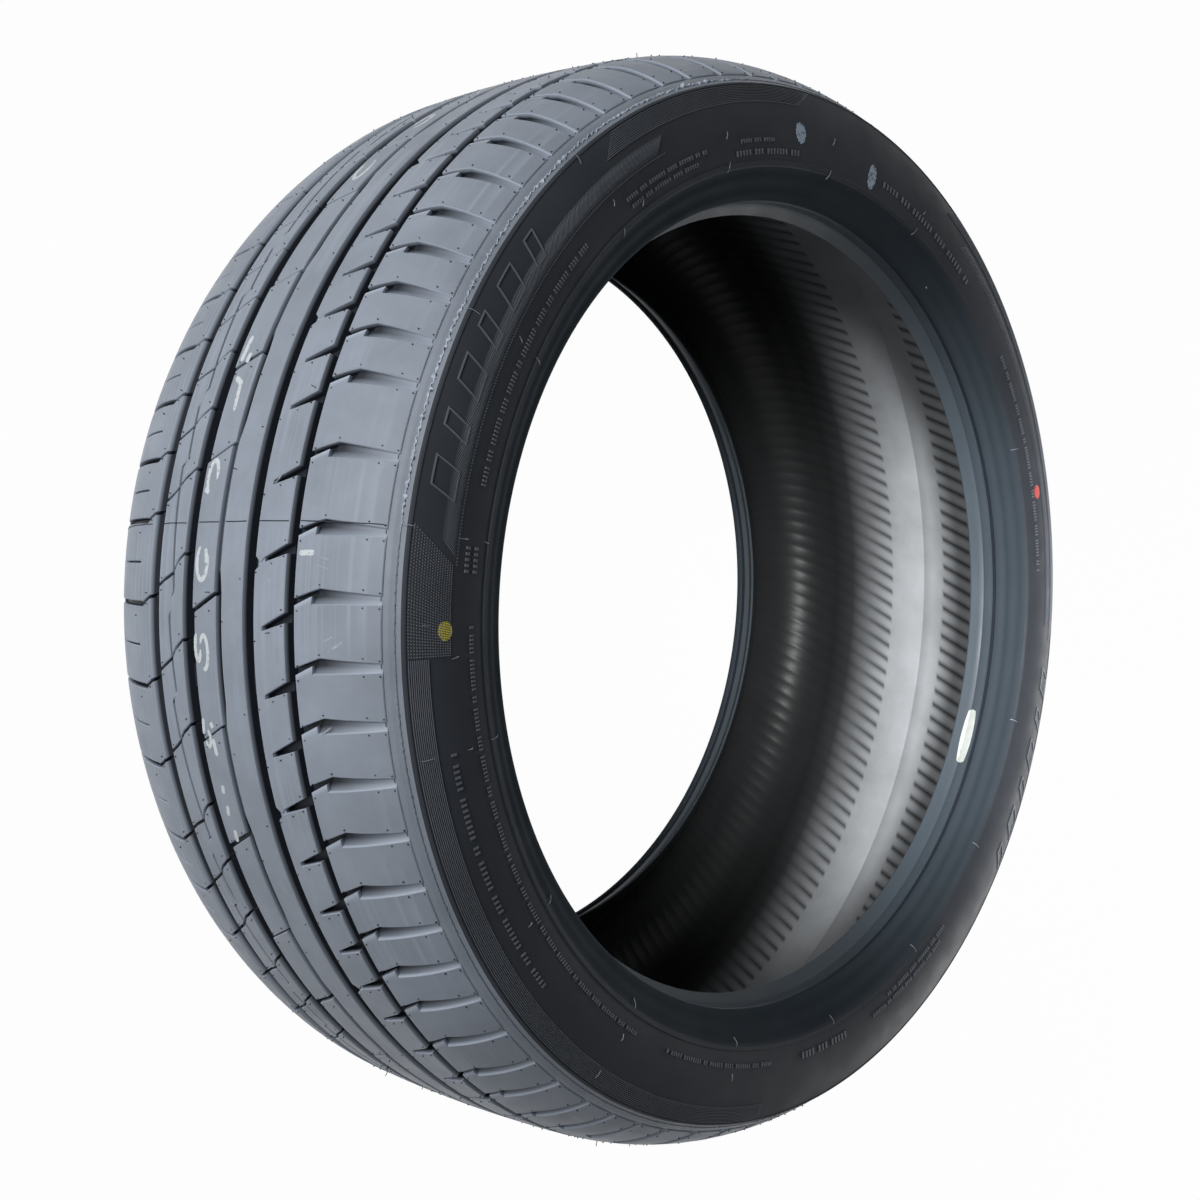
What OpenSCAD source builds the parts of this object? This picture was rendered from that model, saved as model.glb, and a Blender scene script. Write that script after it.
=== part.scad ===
// Low-profile passenger car tyre, off its rim, lying with its spin axis upright.
// The origin is the tyre's centre. +Z points out of the outer sidewall, beside the wide shoulder blocks.
// Angles along the tread count clockwise seen from +Z.

/* [Casing] */
// Diameter of the rim seat that the beads close on
seat_d = 478; // [472:0.5:484]
// Height from the rim seat to the crown of the tread
section_h = 91.5; // [86:0.5:97]
// Width across the two sidewalls
section_w = 259; // [250:1:268]
// Height above the rim seat at which the tyre is widest
widest_h = 33; // [30:1:38]
// Radius of the sidewall's outer curve
sidewall_r = 67; // [62:1:76]
// How far each shoulder edge lies inside the widest place
shoulder_inset = 16.5; // [14:0.5:20]
// Height of the smooth band between the shoulder edge and the sidewall
buttress_h = 6.6; // [5:0.2:9]
// How far each heel lies inside the widest place
heel_inset = 9; // [7:0.5:12]
// Width of one bead base, heel to toe
bead_w = 23; // [20:0.5:26]
// How far the toe reaches in below the rim seat
toe_drop = 6.4; // [4:0.2:8]
// Rounding of the heel
heel_round = 5; // [3:0.5:6]
// Width of the bead base that is ground to the seat's own diameter
land_w = 10; // [6:0.5:11]
// Height above the rim seat of the small rib that sits against the rim flange
rim_rib_place = 18; // [15:1:20]
// Height of that rib
rim_rib_h = 0.9; // [0.5:0.1:1.5]
// Rubber between the floor of the wide grooves and the liner
under_tread_t = 7; // [5:0.5:10]
// Wall of the sidewall at its widest
sidewall_t = 8.5; // [6:0.5:12]
// Radius of the liner's curve into the crown
liner_corner_r = 50; // [42:1:56]

/* [Tread] */
// Width of the nearly flat middle of the tread
flat_w = 120; // [90:2:130]
// Crown radius across the flat middle
crown_r = 1000; // [600:50:1600]
// Crown radius from there out to the shoulder edges
shoulder_r = 103; // [98:1:120]
// Depth of the three wide grooves
groove_depth = 7.6; // [6.5:0.1:8.5]
// Depth of the two narrow grooves
narrow_depth = 5.6; // [4:0.2:7]
// Height of the wear bars on the floor of the wide grooves
wear_bar_h = 1.6; // [1.4:0.1:1.8]
// Depth of the sipes
sipe_depth = 5; // [3:0.5:5.5]
// Width of the sipes that cross the ribs
sipe_w = 1.9; // [0.8:0.1:2.4]
// Width of the thin sipes midway between the inner shoulder's slots
thin_sipe_w = 1.1; // [0.8:0.1:1.6]
// Slope of the groove walls, in degrees
wall_draft = 7; // [3:1:12]

/* [Groove places] */
// Outer wide groove, distance of its middle from the centre line
outer_groove_z = 64.8; // [62:0.1:67]
// Outer wide groove, width at the surface
outer_groove_w = 7; // [5:0.5:9]
// Centre wide groove, distance of its middle from the centre line
centre_groove_z = 33.2; // [31:0.1:36]
// Centre wide groove, width at the surface
centre_groove_w = 9.4; // [7:0.2:12]
// Narrow groove beside the centre line, distance of its middle from it
mid_groove_z = 7.8; // [5:0.1:9]
// Width of that narrow groove
mid_groove_w = 5; // [3:0.5:6]
// Inner wide groove, distance of its middle from the centre line
inner_groove_z = -18.9; // [-23:0.1:-17]
// Inner wide groove, width at the surface
inner_groove_w = 11; // [7:0.5:12]
// Narrow groove at the inner shoulder, distance of its middle from the centre line
far_groove_z = -52.6; // [-55:0.1:-49]
// Width of that narrow groove
far_groove_w = 10.8; // [7:0.2:12]
// Slope of that groove's wall on the shoulder side, in degrees
far_wall_draft = 26; // [7:1:32]

/* [Pitches] */
// How many times the outer side's sequence of block lengths repeats round the tyre
outer_turns = 3; // [2:1:4]
// How many times the inner side's sequence repeats
inner_turns = 6; // [4:1:7]
// Where the outer side's first pitch starts, in degrees
outer_first_angle = 133.5; // [0:0.1:360]
// Where the inner side's first pitch starts, in degrees
inner_first_angle = 153; // [0:0.1:360]
// Length of a medium pitch against a short one
medium_pitch = 1.17; // [1:0.01:1.25]
// Length of a long pitch against a short one
long_pitch = 1.34; // [1:0.01:1.4]
// Length of an extra long pitch against a short one
extra_pitch = 1.52; // [1:0.01:1.6]

/* [Hidden] */
$fn = 180;

// Block lengths in order: short, medium, long and extra long, mixed so that the tyre runs quietly.
outer_sequence = "MSSSMMMMLLXXSSSSMMSSSMSM";
inner_sequence = "LLLLSSSSS";

seat_radius = seat_d / 2;
crown_radius = seat_radius + section_h;
widest_radius = seat_radius + widest_h;
half_section = section_w / 2;
half_tread = half_section - shoulder_inset;
half_flat = flat_w / 2;
heel_z = half_section - heel_inset;
toe_z = heel_z - bead_w;
toe_radius = seat_radius - toe_drop;
over = 4;

// Radius of the tread surface at a distance z from the centre line: two arcs that meet in line.
flat_slope = asin(half_flat / crown_r);
flat_drop = crown_r * (1 - cos(flat_slope));
function shoulder_angle(z) = asin(sin(flat_slope) + (abs(z) - half_flat) / shoulder_r);
function tread_radius(z) =
    abs(z) <= half_flat
        ? crown_radius - crown_r + sqrt(crown_r * crown_r - z * z)
        : crown_radius - flat_drop - shoulder_r * (cos(flat_slope) - cos(shoulder_angle(z)));
function tread_slope(z) =
    sign(z) * (abs(z) <= half_flat ? asin(abs(z) / crown_r) : shoulder_angle(z));

// Sidewall: one arc, from the band under the shoulder edge down to the rim rib.
function sidewall_angle(radius) = asin((radius - widest_radius) / sidewall_r);
function sidewall_point(a, out = 0) =
    [widest_radius + (sidewall_r + out) * sin(a),
     half_section - sidewall_r + (sidewall_r + out) * cos(a)];
band_angle = sidewall_angle(tread_radius(half_tread) - buttress_h);
rib_angle = sidewall_angle(seat_radius + rim_rib_place);

// Liner: a soft S from the toe up to the sidewall, then one arc into the crown.
liner_radius = crown_radius - groove_depth - under_tread_t;
liner_sag = 2;
liner_z = half_section - sidewall_t;
liner_centre = [liner_radius - liner_sag - liner_corner_r, liner_z - liner_corner_r];
function bead_flank(t) =
    [toe_radius + (liner_centre[0] - toe_radius) * t,
     toe_z + (liner_z - toe_z) * (1 - cos(180 * t)) / 2];
function liner_point(a) = liner_centre + liner_corner_r * [sin(a), cos(a)];

function steps(n, from = 0) = [for (i = [from:n]) i / n];
function mix(a, b, t) = a + (b - a) * t;

// Half of the tyre's section, from the crown round the bead to the liner, as [radius, z].
flash_h = 0.8;
band_step = 0.6;
tread_outline = concat(
    [for (t = steps(3)) let (z = half_flat * t) [tread_radius(z), z]],
    [for (t = steps(5, 1)) let (z = mix(half_flat, half_tread, t)) [tread_radius(z), z]]);
sidewall_outline = concat(
    [sidewall_point(band_angle, 0),
     sidewall_point(band_angle - 0.8, flash_h),
     sidewall_point(band_angle - 1.6, 0),
     sidewall_point(band_angle - 5, 0),
     sidewall_point(band_angle - 5.5, band_step)],
    [for (t = steps(8, 1)) sidewall_point(mix(band_angle - 5.5, rib_angle, t), band_step * (1 - t))],
    [sidewall_point(rib_angle - 0.6, rim_rib_h),
     sidewall_point(rib_angle - 1.6, rim_rib_h),
     sidewall_point(rib_angle - 2.4, 0)]);
bead_outline = concat(
    [for (t = steps(4))
        [seat_radius + heel_round * (1 - sin(90 * t)), heel_z - heel_round * (1 - cos(90 * t))]],
    [[seat_radius, heel_z - heel_round - land_w],
     [toe_radius, toe_z + 1],
     [toe_radius + 1, toe_z]]);
liner_outline = concat(
    [for (t = steps(7, 1)) bead_flank(t)],
    [for (t = steps(6, 1)) liner_point(85 * t)],
    [[liner_radius, 0]]);
half_outline = concat(tread_outline, sidewall_outline, bead_outline, liner_outline);
far_outline = [for (i = [len(half_outline) - 2:-1:1]) [half_outline[i][0], -half_outline[i][1]]];

// One groove that runs round the tyre, cut across: sloping walls and a floor with eased corners.
module groove_section(z, width, depth, low_draft = wall_draft) {
    top = tread_radius(z);
    low_lean = tan(low_draft);
    high_lean = tan(wall_draft);
    floor_low = z - width / 2 + depth * low_lean;
    floor_high = z + width / 2 - depth * high_lean;
    ease = min(1.2, (floor_high - floor_low) / 4);
    polygon([
        [top + over, z - width / 2 - over * low_lean],
        [top + over, z + width / 2 + over * high_lean],
        [top - depth + ease, floor_high + ease * high_lean],
        [top - depth, floor_high - ease],
        [top - depth, floor_low + ease],
        [top - depth + ease, floor_low - ease * low_lean]]);
}

module casing_section() {
    difference() {
        polygon(concat(half_outline, far_outline));
        groove_section(outer_groove_z, outer_groove_w, groove_depth);
        groove_section(centre_groove_z, centre_groove_w, groove_depth);
        groove_section(mid_groove_z, mid_groove_w, narrow_depth);
        groove_section(inner_groove_z, inner_groove_w, groove_depth);
        groove_section(far_groove_z, far_groove_w, narrow_depth, far_wall_draft);
    }
}

// Wear bars: low bridges across the wide grooves, at six places round the tyre.
wear_bar_l = 12;
module wear_bars() {
    for (turn = [0:5], groove = [[outer_groove_z, outer_groove_w], [centre_groove_z, centre_groove_w],
                                 [inner_groove_z, inner_groove_w]])
        let (floor_radius = tread_radius(groove[0]) - groove_depth)
        rotate([0, 0, 60 * turn + 10])
            translate([floor_radius - 1, -wear_bar_l / 2, groove[0] - groove[1] / 2])
                cube([1 + wear_bar_h, wear_bar_l, groove[1]]);
}

// The angles at which the pitches start, going round once, with the first one's again at the end.
function pitch_size(kind) =
    kind == "S" ? 1 : kind == "M" ? medium_pitch : kind == "L" ? long_pitch : extra_pitch;
function pitch_angles(sequence, turns, first_angle) =
    let (sizes = [for (turn = [1:turns], kind = sequence) pitch_size(kind)],
         sums = [for (i = 0, sum = 0; i <= len(sizes); sum = sum + (i < len(sizes) ? sizes[i] : 0),
                      i = i + 1) sum])
    [for (sum = sums) first_angle + 360 * sum / sums[len(sizes)]];
outer_angles = pitch_angles(outer_sequence, outer_turns, outer_first_angle);
inner_angles = pitch_angles(inner_sequence, inner_turns, inner_first_angle);

// A cut drawn in plan on the tread: each point is [distance along the tread, z]. It stands on
// the surface at z, leans as the surface does there, and reaches depth below it.
module tread_cut(angle, z, depth, plan, dive = 0) {
    rotate([0, 0, -angle])
        translate([tread_radius(z), 0, z])
            rotate([0, dive - tread_slope(z), 0])
                translate([-depth, 0, 0])
                    rotate([90, 0, 90])
                        linear_extrude(depth + over)
                            polygon([for (p = plan) [-p[0], (p[1] - z) / cos(tread_slope(z))]]);
}

// The outline of a thin cut of one width along a line of points.
function band(line, width) = concat(
    [for (p = line) [p[0] - width / 2, p[1]]],
    [for (i = [len(line) - 1:-1:0]) [line[i][0] + width / 2, line[i][1]]]);

// Outer shoulder: a wedge-shaped slot whose floor rises to the shoulder edge.
slot_kink_z = outer_groove_z + outer_groove_w / 2 + 15.3;
wedge_z = slot_kink_z - 4.2;
slot_end_z = half_tread + over;
slot_edge = 1.3;
module outer_shoulder_slot(angle) {
    tread_cut(angle, (wedge_z + half_tread) / 2, 2.2,
        [[slot_edge, slot_kink_z], [-2.4, wedge_z], [-6.6, wedge_z - 0.2],
         [-5.1, slot_end_z], [-1.5, slot_end_z]], dive = 3.9);
}

// Outer rib: a blunt slot that crosses the wide groove and runs on, slanted, into the shoulder's wedge.
// Every fourth one has a small chamfer between it and the centre groove.
blunt_end_z = outer_groove_z - outer_groove_w / 2 - 16.6;
module rib_slot(angle) {
    rib_edge_z = outer_groove_z - outer_groove_w / 2;
    block_edge_z = outer_groove_z + outer_groove_w / 2;
    tread_cut(angle, outer_groove_z, sipe_depth,
        [[-21, blunt_end_z], [-18.8, blunt_end_z], [-11.4, rib_edge_z], [-4, block_edge_z],
         [slot_edge, slot_kink_z], [-2.4, wedge_z + 0.2], [-7.4, block_edge_z], [-16.5, rib_edge_z]]);
}
module rib_chamfer(angle) {
    rib_edge_z = centre_groove_z + centre_groove_w / 2;
    tread_cut(angle, rib_edge_z, 1.6,
        [[-26.2, rib_edge_z - 1], [-17.6, rib_edge_z - 1], [-21.9, rib_edge_z + 4]]);
}

// Centre rib: a slanted sipe from the inner wide groove to the narrow groove.
module centre_rib_sipe(angle) {
    tread_cut(angle, (mid_groove_z + inner_groove_z) / 2, sipe_depth,
        band([[-50, inner_groove_z], [-37.2, mid_groove_z]], sipe_w));
}

// Inner rib: a sipe with two bends, from the inner wide groove to the inner shoulder.
inner_kink_z = far_groove_z - far_groove_w / 2 - 6.7;
inner_rib_edge_z = inner_groove_z - inner_groove_w / 2;
module inner_sipe(angle) {
    tread_cut(angle, (inner_groove_z + far_groove_z) / 2, sipe_depth,
        band([[28, inner_groove_z + 1], [28, inner_rib_edge_z], [17.5, inner_rib_edge_z - 11],
              [0, inner_kink_z]], sipe_w));
}

// Inner shoulder: a slot that opens to the sidewall, and a thin sipe midway to the next.
module inner_shoulder_slot(angle) {
    tread_cut(angle, (inner_kink_z - half_tread) / 2, sipe_depth,
        [[-1.2, inner_kink_z + 0.5], [1, inner_kink_z + 0.5], [1.5, inner_kink_z - 2],
         [1.3, -half_tread - over], [-1.3, -half_tread - over], [-1.5, inner_kink_z - 2]]);
}
notch_margin = 14;
module inner_shoulder_notch(angle) {
    tread_cut(angle, (inner_kink_z - half_tread) / 2, 3,
        band([[0, inner_kink_z - 4], [0, -half_tread + notch_margin]], thin_sipe_w));
}

// Long sipes that run round the inner rib, drifting a little towards the inner shoulder.
dash_w = 1.6;
dash_z = inner_rib_edge_z - 10.6;
module inner_rib_dash(from, to, drift) {
    half = crown_radius * tan((to - from) / 2);
    tread_cut((from + to) / 2, dash_z, sipe_depth - 1,
        [[-half, dash_z + (drift - dash_w) / 2], [-half, dash_z + (drift + dash_w) / 2],
         [half, dash_z + (dash_w - drift) / 2], [half, dash_z - (drift + dash_w) / 2]]);
}

module tyre() {
    color("dimgray")
    difference() {
        union() {
            rotate_extrude() casing_section();
            wear_bars();
        }
        for (i = [0:len(outer_angles) - 2]) {
            outer_shoulder_slot(outer_angles[i]);
            rib_slot(outer_angles[i]);
            if (i % 4 == 2) rib_chamfer(outer_angles[i]);
            if (i % 2 == 0) centre_rib_sipe(outer_angles[i]);
        }
        for (i = [0:len(inner_angles) - 2]) {
            inner_sipe(inner_angles[i]);
            inner_shoulder_slot(inner_angles[i]);
            inner_shoulder_notch(mix(inner_angles[i], inner_angles[i + 1], 0.5));
            if (i % 3 == 0)
                inner_rib_dash(mix(inner_angles[i], inner_angles[i + 1], 0.15),
                               mix(inner_angles[i + 1], inner_angles[i + 2], 0.88), 5.4);
            if (i % 3 == 2)
                inner_rib_dash(inner_angles[i], mix(inner_angles[i], inner_angles[i + 1], 0.86), 3);
        }
    }
}

tyre();
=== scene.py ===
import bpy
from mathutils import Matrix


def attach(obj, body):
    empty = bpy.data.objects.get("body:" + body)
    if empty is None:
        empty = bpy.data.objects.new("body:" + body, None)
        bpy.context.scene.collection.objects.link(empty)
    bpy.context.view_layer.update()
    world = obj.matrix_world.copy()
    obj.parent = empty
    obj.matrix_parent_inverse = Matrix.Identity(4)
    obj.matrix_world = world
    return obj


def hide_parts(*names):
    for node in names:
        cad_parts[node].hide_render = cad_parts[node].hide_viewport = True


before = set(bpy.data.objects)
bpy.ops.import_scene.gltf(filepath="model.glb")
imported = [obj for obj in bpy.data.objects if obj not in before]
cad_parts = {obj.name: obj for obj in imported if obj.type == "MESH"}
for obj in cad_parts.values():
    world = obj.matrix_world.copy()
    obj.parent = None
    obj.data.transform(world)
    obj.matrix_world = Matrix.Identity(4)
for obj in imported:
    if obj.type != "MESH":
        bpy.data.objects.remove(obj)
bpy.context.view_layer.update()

import math
from types import SimpleNamespace

import bpy
import numpy as np
from bpy.props import FloatProperty, FloatVectorProperty, IntProperty, PointerProperty
from mathutils import Matrix, Vector

bl_info = {
    "name": "Low-profile car tyre",
    "version": (1, 0, 0),
    "blender": (4, 5, 0),
    "location": "3D View > Sidebar > Tyre",
    "description": "Builds a passenger car tyre with its tread, sidewall relief and liner",
    "category": "Add Mesh",
}

# Lengths inside the functions are millimetres, and new_piece turns them into metres.
# Angles along the tread count clockwise seen from +Z, the outer side of the tyre.
MM = 0.001
HEEL_ROUND = 5.0
LINER_SMOOTH = 23.0
LINER_LEAN = 0.45
LINER_SETBACK = 1.6
GROOVE_JOG = 0.9
FOOT_SINK = 0.8
WEAR_BAR_HEIGHT = 1.6
LABEL_ANGLE = 19.5
LABEL_Z = 106.0
FLOOR_GAP = 1.2
FLOOR_HALF = 6.0
FLOOR_GLOW = 0.98
LOOKS_AT = Vector((-0.0201, -0.0020, -0.0212))
BODY = "root"
NODE = "tyre"


def frame_sizes():
    """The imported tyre's crown radius and half width, in metres, from its own vertices."""
    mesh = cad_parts[NODE].data
    spots = np.empty(len(mesh.vertices) * 3)
    mesh.vertices.foreach_get("co", spots)
    spots = spots.reshape(-1, 3)
    return float(np.hypot(spots[:, 0], spots[:, 1]).max()), float(np.abs(spots[:, 2]).max())


FRAME_CROWN, FRAME_HALF_WIDTH = frame_sizes()


def length(name, description, default):
    return FloatProperty(name=name, description=description, default=default, unit="LENGTH", precision=5)


def turn(name, description, degrees):
    return FloatProperty(name=name, description=description, default=math.radians(degrees), unit="ROTATION")


def power(name, description, default):
    return FloatProperty(name=name, description=description, default=default, min=0)


def colour(name, description, red, green, blue):
    return FloatVectorProperty(
        name=name, description=description, default=(red, green, blue), subtype="COLOR", size=3, min=0, max=1
    )


class TyreCasingSizes(bpy.types.PropertyGroup):
    """Sizes of the tyre's section, without its tread pattern."""

    crown_radius: length("Crown radius", "Radius of the tread on its centre line", FRAME_CROWN)
    half_width: length("Half width", "Half of the width across the sidewalls", FRAME_HALF_WIDTH)
    seat_radius: length("Seat radius", "Radius of the rim seat that the beads close on", 0.239)
    widest_radius: length("Widest radius", "Radius at which the sidewall is widest", 0.272)
    sidewall_curve: length("Sidewall curve", "Radius of the sidewall's outer curve", 0.067)
    half_tread: length("Half tread", "Distance of each shoulder edge from the centre line", 0.113)
    half_flat: length("Half flat", "Half of the nearly flat middle of the tread", 0.060)
    crown_curve: length("Crown curve", "Cross radius of the flat middle", 1.0)
    shoulder_curve: length("Shoulder curve", "Cross radius from there to the shoulder edge", 0.103)
    band_radius: length("Band foot", "Radius at the foot of the band under the shoulder", 0.30345)
    rim_rib_radius: length("Rim rib", "Radius of the small rib beside the rim flange", 0.257)
    heel_z: length("Heel place", "Distance of the bead heels from the centre line", 0.1205)
    toe_z: length("Toe place", "Distance of the bead toes from the centre line", 0.0975)
    toe_radius: length("Toe radius", "Radius of the bead toes", 0.2326)
    liner_radius: length("Liner radius", "Radius of the liner under the crown", 0.3159)
    liner_z: length("Liner side", "Distance of the liner's flank from the centre line", 0.121)


class TyreTreadSizes(bpy.types.PropertyGroup):
    """Sizes of the tread pattern."""

    groove_depth: length("Groove depth", "Depth of the wide grooves", 0.0076)
    narrow_depth: length("Narrow depth", "Depth of the narrow grooves", 0.0056)
    slot_depth: length("Slot depth", "Depth of the slots and sipes", 0.005)
    ledge: length("Ledge", "Step from the shoulder blocks down to the band", 0.0009)
    bevel: length("Edge easing", "Width of the eased edges of the blocks", 0.00035)
    nub_height: length("Nub height", "Height of the vent nubs", 0.0006)
    outer_first: turn("Outer start", "Angle at which the outer side's pitches start", 133.5)
    inner_first: turn("Inner start", "Angle at which the inner side's pitches start", 153.0)


class TyreReliefSizes(bpy.types.PropertyGroup):
    """Heights of the sidewall's relief."""

    ridge_height: length("Ridge height", "Height of the fine ridges", 0.0006)
    mark_height: length("Mark height", "Height of the raised bars and outlines", 0.0007)
    liner_rib_height: length("Liner rib height", "Height of the fine ribs inside", 0.0005)
    liner_ribs: IntProperty(
        name="Liner ribs", description="Number of fine ribs round the liner", default=187, min=40, max=400
    )


class TyreColours(bpy.types.PropertyGroup):
    """Colours of the rubber and of the marks on it."""

    # Much lighter than the sidewall's colour, though the same rubber: partly mould bloom, partly painted
    # sheen.
    tread: colour("Tread", "Moulded face of the tread blocks", 0.265, 0.300, 0.355)
    # Painted shade: the dark that falls deep in grooves and slots, given to the rubber as its colour.
    groove: colour("Groove", "Rubber deep in the grooves", 0.018, 0.022, 0.030)
    sidewall: colour("Sidewall", "Rubber of the sidewall", 0.040, 0.045, 0.054)
    # The relief's tops lighter than the sidewall: painted highlight.
    raised: colour("Raised", "Tops of the sidewall's relief", 0.120, 0.133, 0.155)
    bead: colour("Bead", "Smooth rubber of the bead", 0.055, 0.070, 0.084)
    # Pale: partly dust, partly painted light on the liner's near side.
    liner: colour("Liner", "Dusty rubber of the liner", 0.340, 0.355, 0.370)
    chalk: colour("White paint", "Tread paint and chalk", 0.62, 0.66, 0.68)
    yellow: colour("Yellow dot", "Balance mark", 0.86, 0.74, 0.06)
    red: colour("Red dot", "Balance mark", 0.62, 0.03, 0.02)
    print_blue: colour("Stamp print", "Pale stamps on the sidewall", 0.46, 0.58, 0.72)
    label: colour("Label", "Blank label on the bead", 0.50, 0.53, 0.50)


class TyreStudio(bpy.types.PropertyGroup):
    """Camera and lights."""

    lens: FloatProperty(name="Lens", description="Focal length on a 36 mm sensor, in mm", default=51.91)
    distance: length("Distance", "Distance of the camera from what it looks at", 1.1157)
    elevation: turn("Elevation", "Height of the camera above the floor", 43.505)
    azimuth: turn("Azimuth", "Direction of the camera from +X towards +Y", -179.21)
    roll: turn("Roll", "Turn of the camera about its line of sight", 93.08)
    side_light: power("Side light", "Power of the wide side light, in W", 17.0)
    back_light: power("Back light", "Power of the light behind the tyre, in W", 9.0)
    inside_light: power("Inside light", "Power of the lamp into the liner, in W", 60.0)
    air: power("Ambient", "Strength of the even light all round", 0.05)


def in_mm(group):
    """A property group's lengths in millimetres."""
    return SimpleNamespace(**{name: getattr(group, name) / MM for name in group.__annotations__})


def casing():
    return in_mm(bpy.context.scene.tyre_casing)


def tread():
    return in_mm(bpy.context.scene.tyre_tread)


def relief():
    return in_mm(bpy.context.scene.tyre_relief)


def ease(t):
    """Smooth step from 0 to 1."""
    t = np.clip(t, 0, 1)
    return t * t * (3 - 2 * t)


def steps(start, stop, count):
    return np.linspace(start, stop, count)


def rubble(angle, seed, waves):
    """Uneven line round the tyre, between about -1 and 1: a sum of sines with random phases."""
    draw = np.random.default_rng(seed)
    counts = draw.integers(waves, 9 * waves, 14)
    phases = draw.uniform(0, math.tau, 14)
    return sum(np.sin(n * angle + p) for n, p in zip(counts, phases)) / 5


def tread_radius(z):
    """Radius of the tread at z: one arc over the flat middle, a tighter one out to the shoulder edge."""
    c = casing()
    away = np.abs(z)
    edge_sine = c.half_flat / c.crown_curve
    edge_cosine = math.sqrt(1 - edge_sine**2)
    middle = c.crown_radius - c.crown_curve + np.sqrt(c.crown_curve**2 - np.minimum(away, c.half_flat) ** 2)
    sine = np.clip(edge_sine + (away - c.half_flat) / c.shoulder_curve, -1, 1)
    outer_drop = c.shoulder_curve * (edge_cosine - np.sqrt(1 - sine**2))
    outer = c.crown_radius - c.crown_curve * (1 - edge_cosine) - outer_drop
    return np.where(away <= c.half_flat, middle, outer)


def tread_lean(z):
    """Lean of the tread's normal towards the side at z: the angle of the arc that z lies on."""
    c = casing()
    away = np.abs(z)
    outer = c.half_flat / c.crown_curve + (away - c.half_flat) / c.shoulder_curve
    sine = np.where(away <= c.half_flat, away / c.crown_curve, outer)
    return np.sign(z) * np.arcsin(np.clip(sine, -1, 1))


def placed(angle, radius, z):
    """Points from their angle (clockwise seen from +Z), radius and height."""
    angle, radius, z = np.broadcast_arrays(angle, radius, z)
    return np.stack([radius * np.cos(angle), -radius * np.sin(angle), z], axis=-1)


def tread_point(angle, z, depth):
    """Point below the tread's surface: from the surface at z, depth inwards along its normal."""
    lean = tread_lean(z)
    return placed(angle, tread_radius(z) - depth * np.cos(lean), z - depth * np.sin(lean))


def side_height(radius):
    """Height of the sidewall at a radius: the flank below the rim rib, one arc, and the straight band."""
    c = casing()
    arc_centre = c.half_width - c.sidewall_curve
    arc = arc_centre + np.sqrt(np.maximum(c.sidewall_curve**2 - (radius - c.widest_radius) ** 2, 0))
    rib_z = arc_centre + math.sqrt(c.sidewall_curve**2 - (c.rim_rib_radius - c.widest_radius) ** 2)
    band_z = arc_centre + math.sqrt(c.sidewall_curve**2 - (c.band_radius - c.widest_radius) ** 2)
    heel_top = c.seat_radius + HEEL_ROUND
    flank = c.heel_z + (rib_z - c.heel_z) * (radius - heel_top) / (c.rim_rib_radius - heel_top)
    edge_radius = float(tread_radius(c.half_tread))
    band = band_z + (c.half_tread - band_z) * (radius - c.band_radius) / (edge_radius - c.band_radius)
    return np.where(radius < c.rim_rib_radius, flank, np.where(radius > c.band_radius, band, arc))


def side_lean(radius):
    """Angle of the sidewall's normal from the axis, towards the tread, from the slope of its height."""
    step = 0.5
    slope = (side_height(radius + step) - side_height(radius - step)) / (2 * step)
    return -np.arctan(slope)


def side_point(angle, radius, out, side=1):
    """Point on the sidewall, raised by out along its normal; side is 1 for outer, -1 for inner."""
    lean = side_lean(radius)
    return placed(angle, radius + out * np.sin(lean), side * (side_height(radius) + out * np.cos(lean)))


def signed_volume(points, quads):
    """Volume inside closed quads, positive where they face outwards."""
    a, b, c, d = (points[quads[:, i]] for i in range(4))
    return (np.einsum("ij,ij->", a, np.cross(b, c)) + np.einsum("ij,ij->", a, np.cross(c, d))) / 6


def new_piece(name, points, quads, materials, picks=None, depths=None, sharp=35):
    """Closed mesh from points in mm and quads, turned to face outwards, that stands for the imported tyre."""
    points = np.asarray(points, float).reshape(-1, 3)
    quads = np.asarray(quads).reshape(-1, 4)
    if signed_volume(points, quads) < 0:
        quads = quads[:, ::-1]
    mesh = bpy.data.meshes.new(name)
    mesh.vertices.add(len(points))
    mesh.vertices.foreach_set("co", (points * MM).ravel())
    mesh.loops.add(quads.size)
    mesh.loops.foreach_set("vertex_index", quads.ravel().astype(np.int32))
    mesh.polygons.add(len(quads))
    mesh.polygons.foreach_set("loop_start", np.arange(0, quads.size, 4, dtype=np.int32))
    for material in materials:
        mesh.materials.append(material)
    if picks is not None:
        mesh.polygons.foreach_set("material_index", np.asarray(picks, np.int32).ravel())
    if depths is not None:
        attribute = mesh.attributes.new("depth", "FLOAT", "POINT")
        attribute.data.foreach_set("value", np.asarray(depths, float).ravel())
    mesh.update(calc_edges=True)
    if mesh.validate():
        raise RuntimeError(f"{name} has faces that aren't sound")
    mesh.shade_smooth()
    mesh.set_sharp_from_angle(angle=math.radians(sharp))
    piece = bpy.data.objects.new(name, mesh)
    bpy.context.scene.collection.objects.link(piece)
    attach(piece, BODY)
    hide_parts(NODE)
    return piece


def ring_quads(rows, columns):
    """Quads of a grid that closes on itself both ways."""
    row, column = np.meshgrid(np.arange(rows), np.arange(columns), indexing="ij")
    next_row, next_column = (row + 1) % rows, (column + 1) % columns
    corners = [row * columns + column, row * columns + next_column]
    corners += [next_row * columns + next_column, next_row * columns + column]
    return np.stack(corners, axis=-1).reshape(-1, 4)


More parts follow.
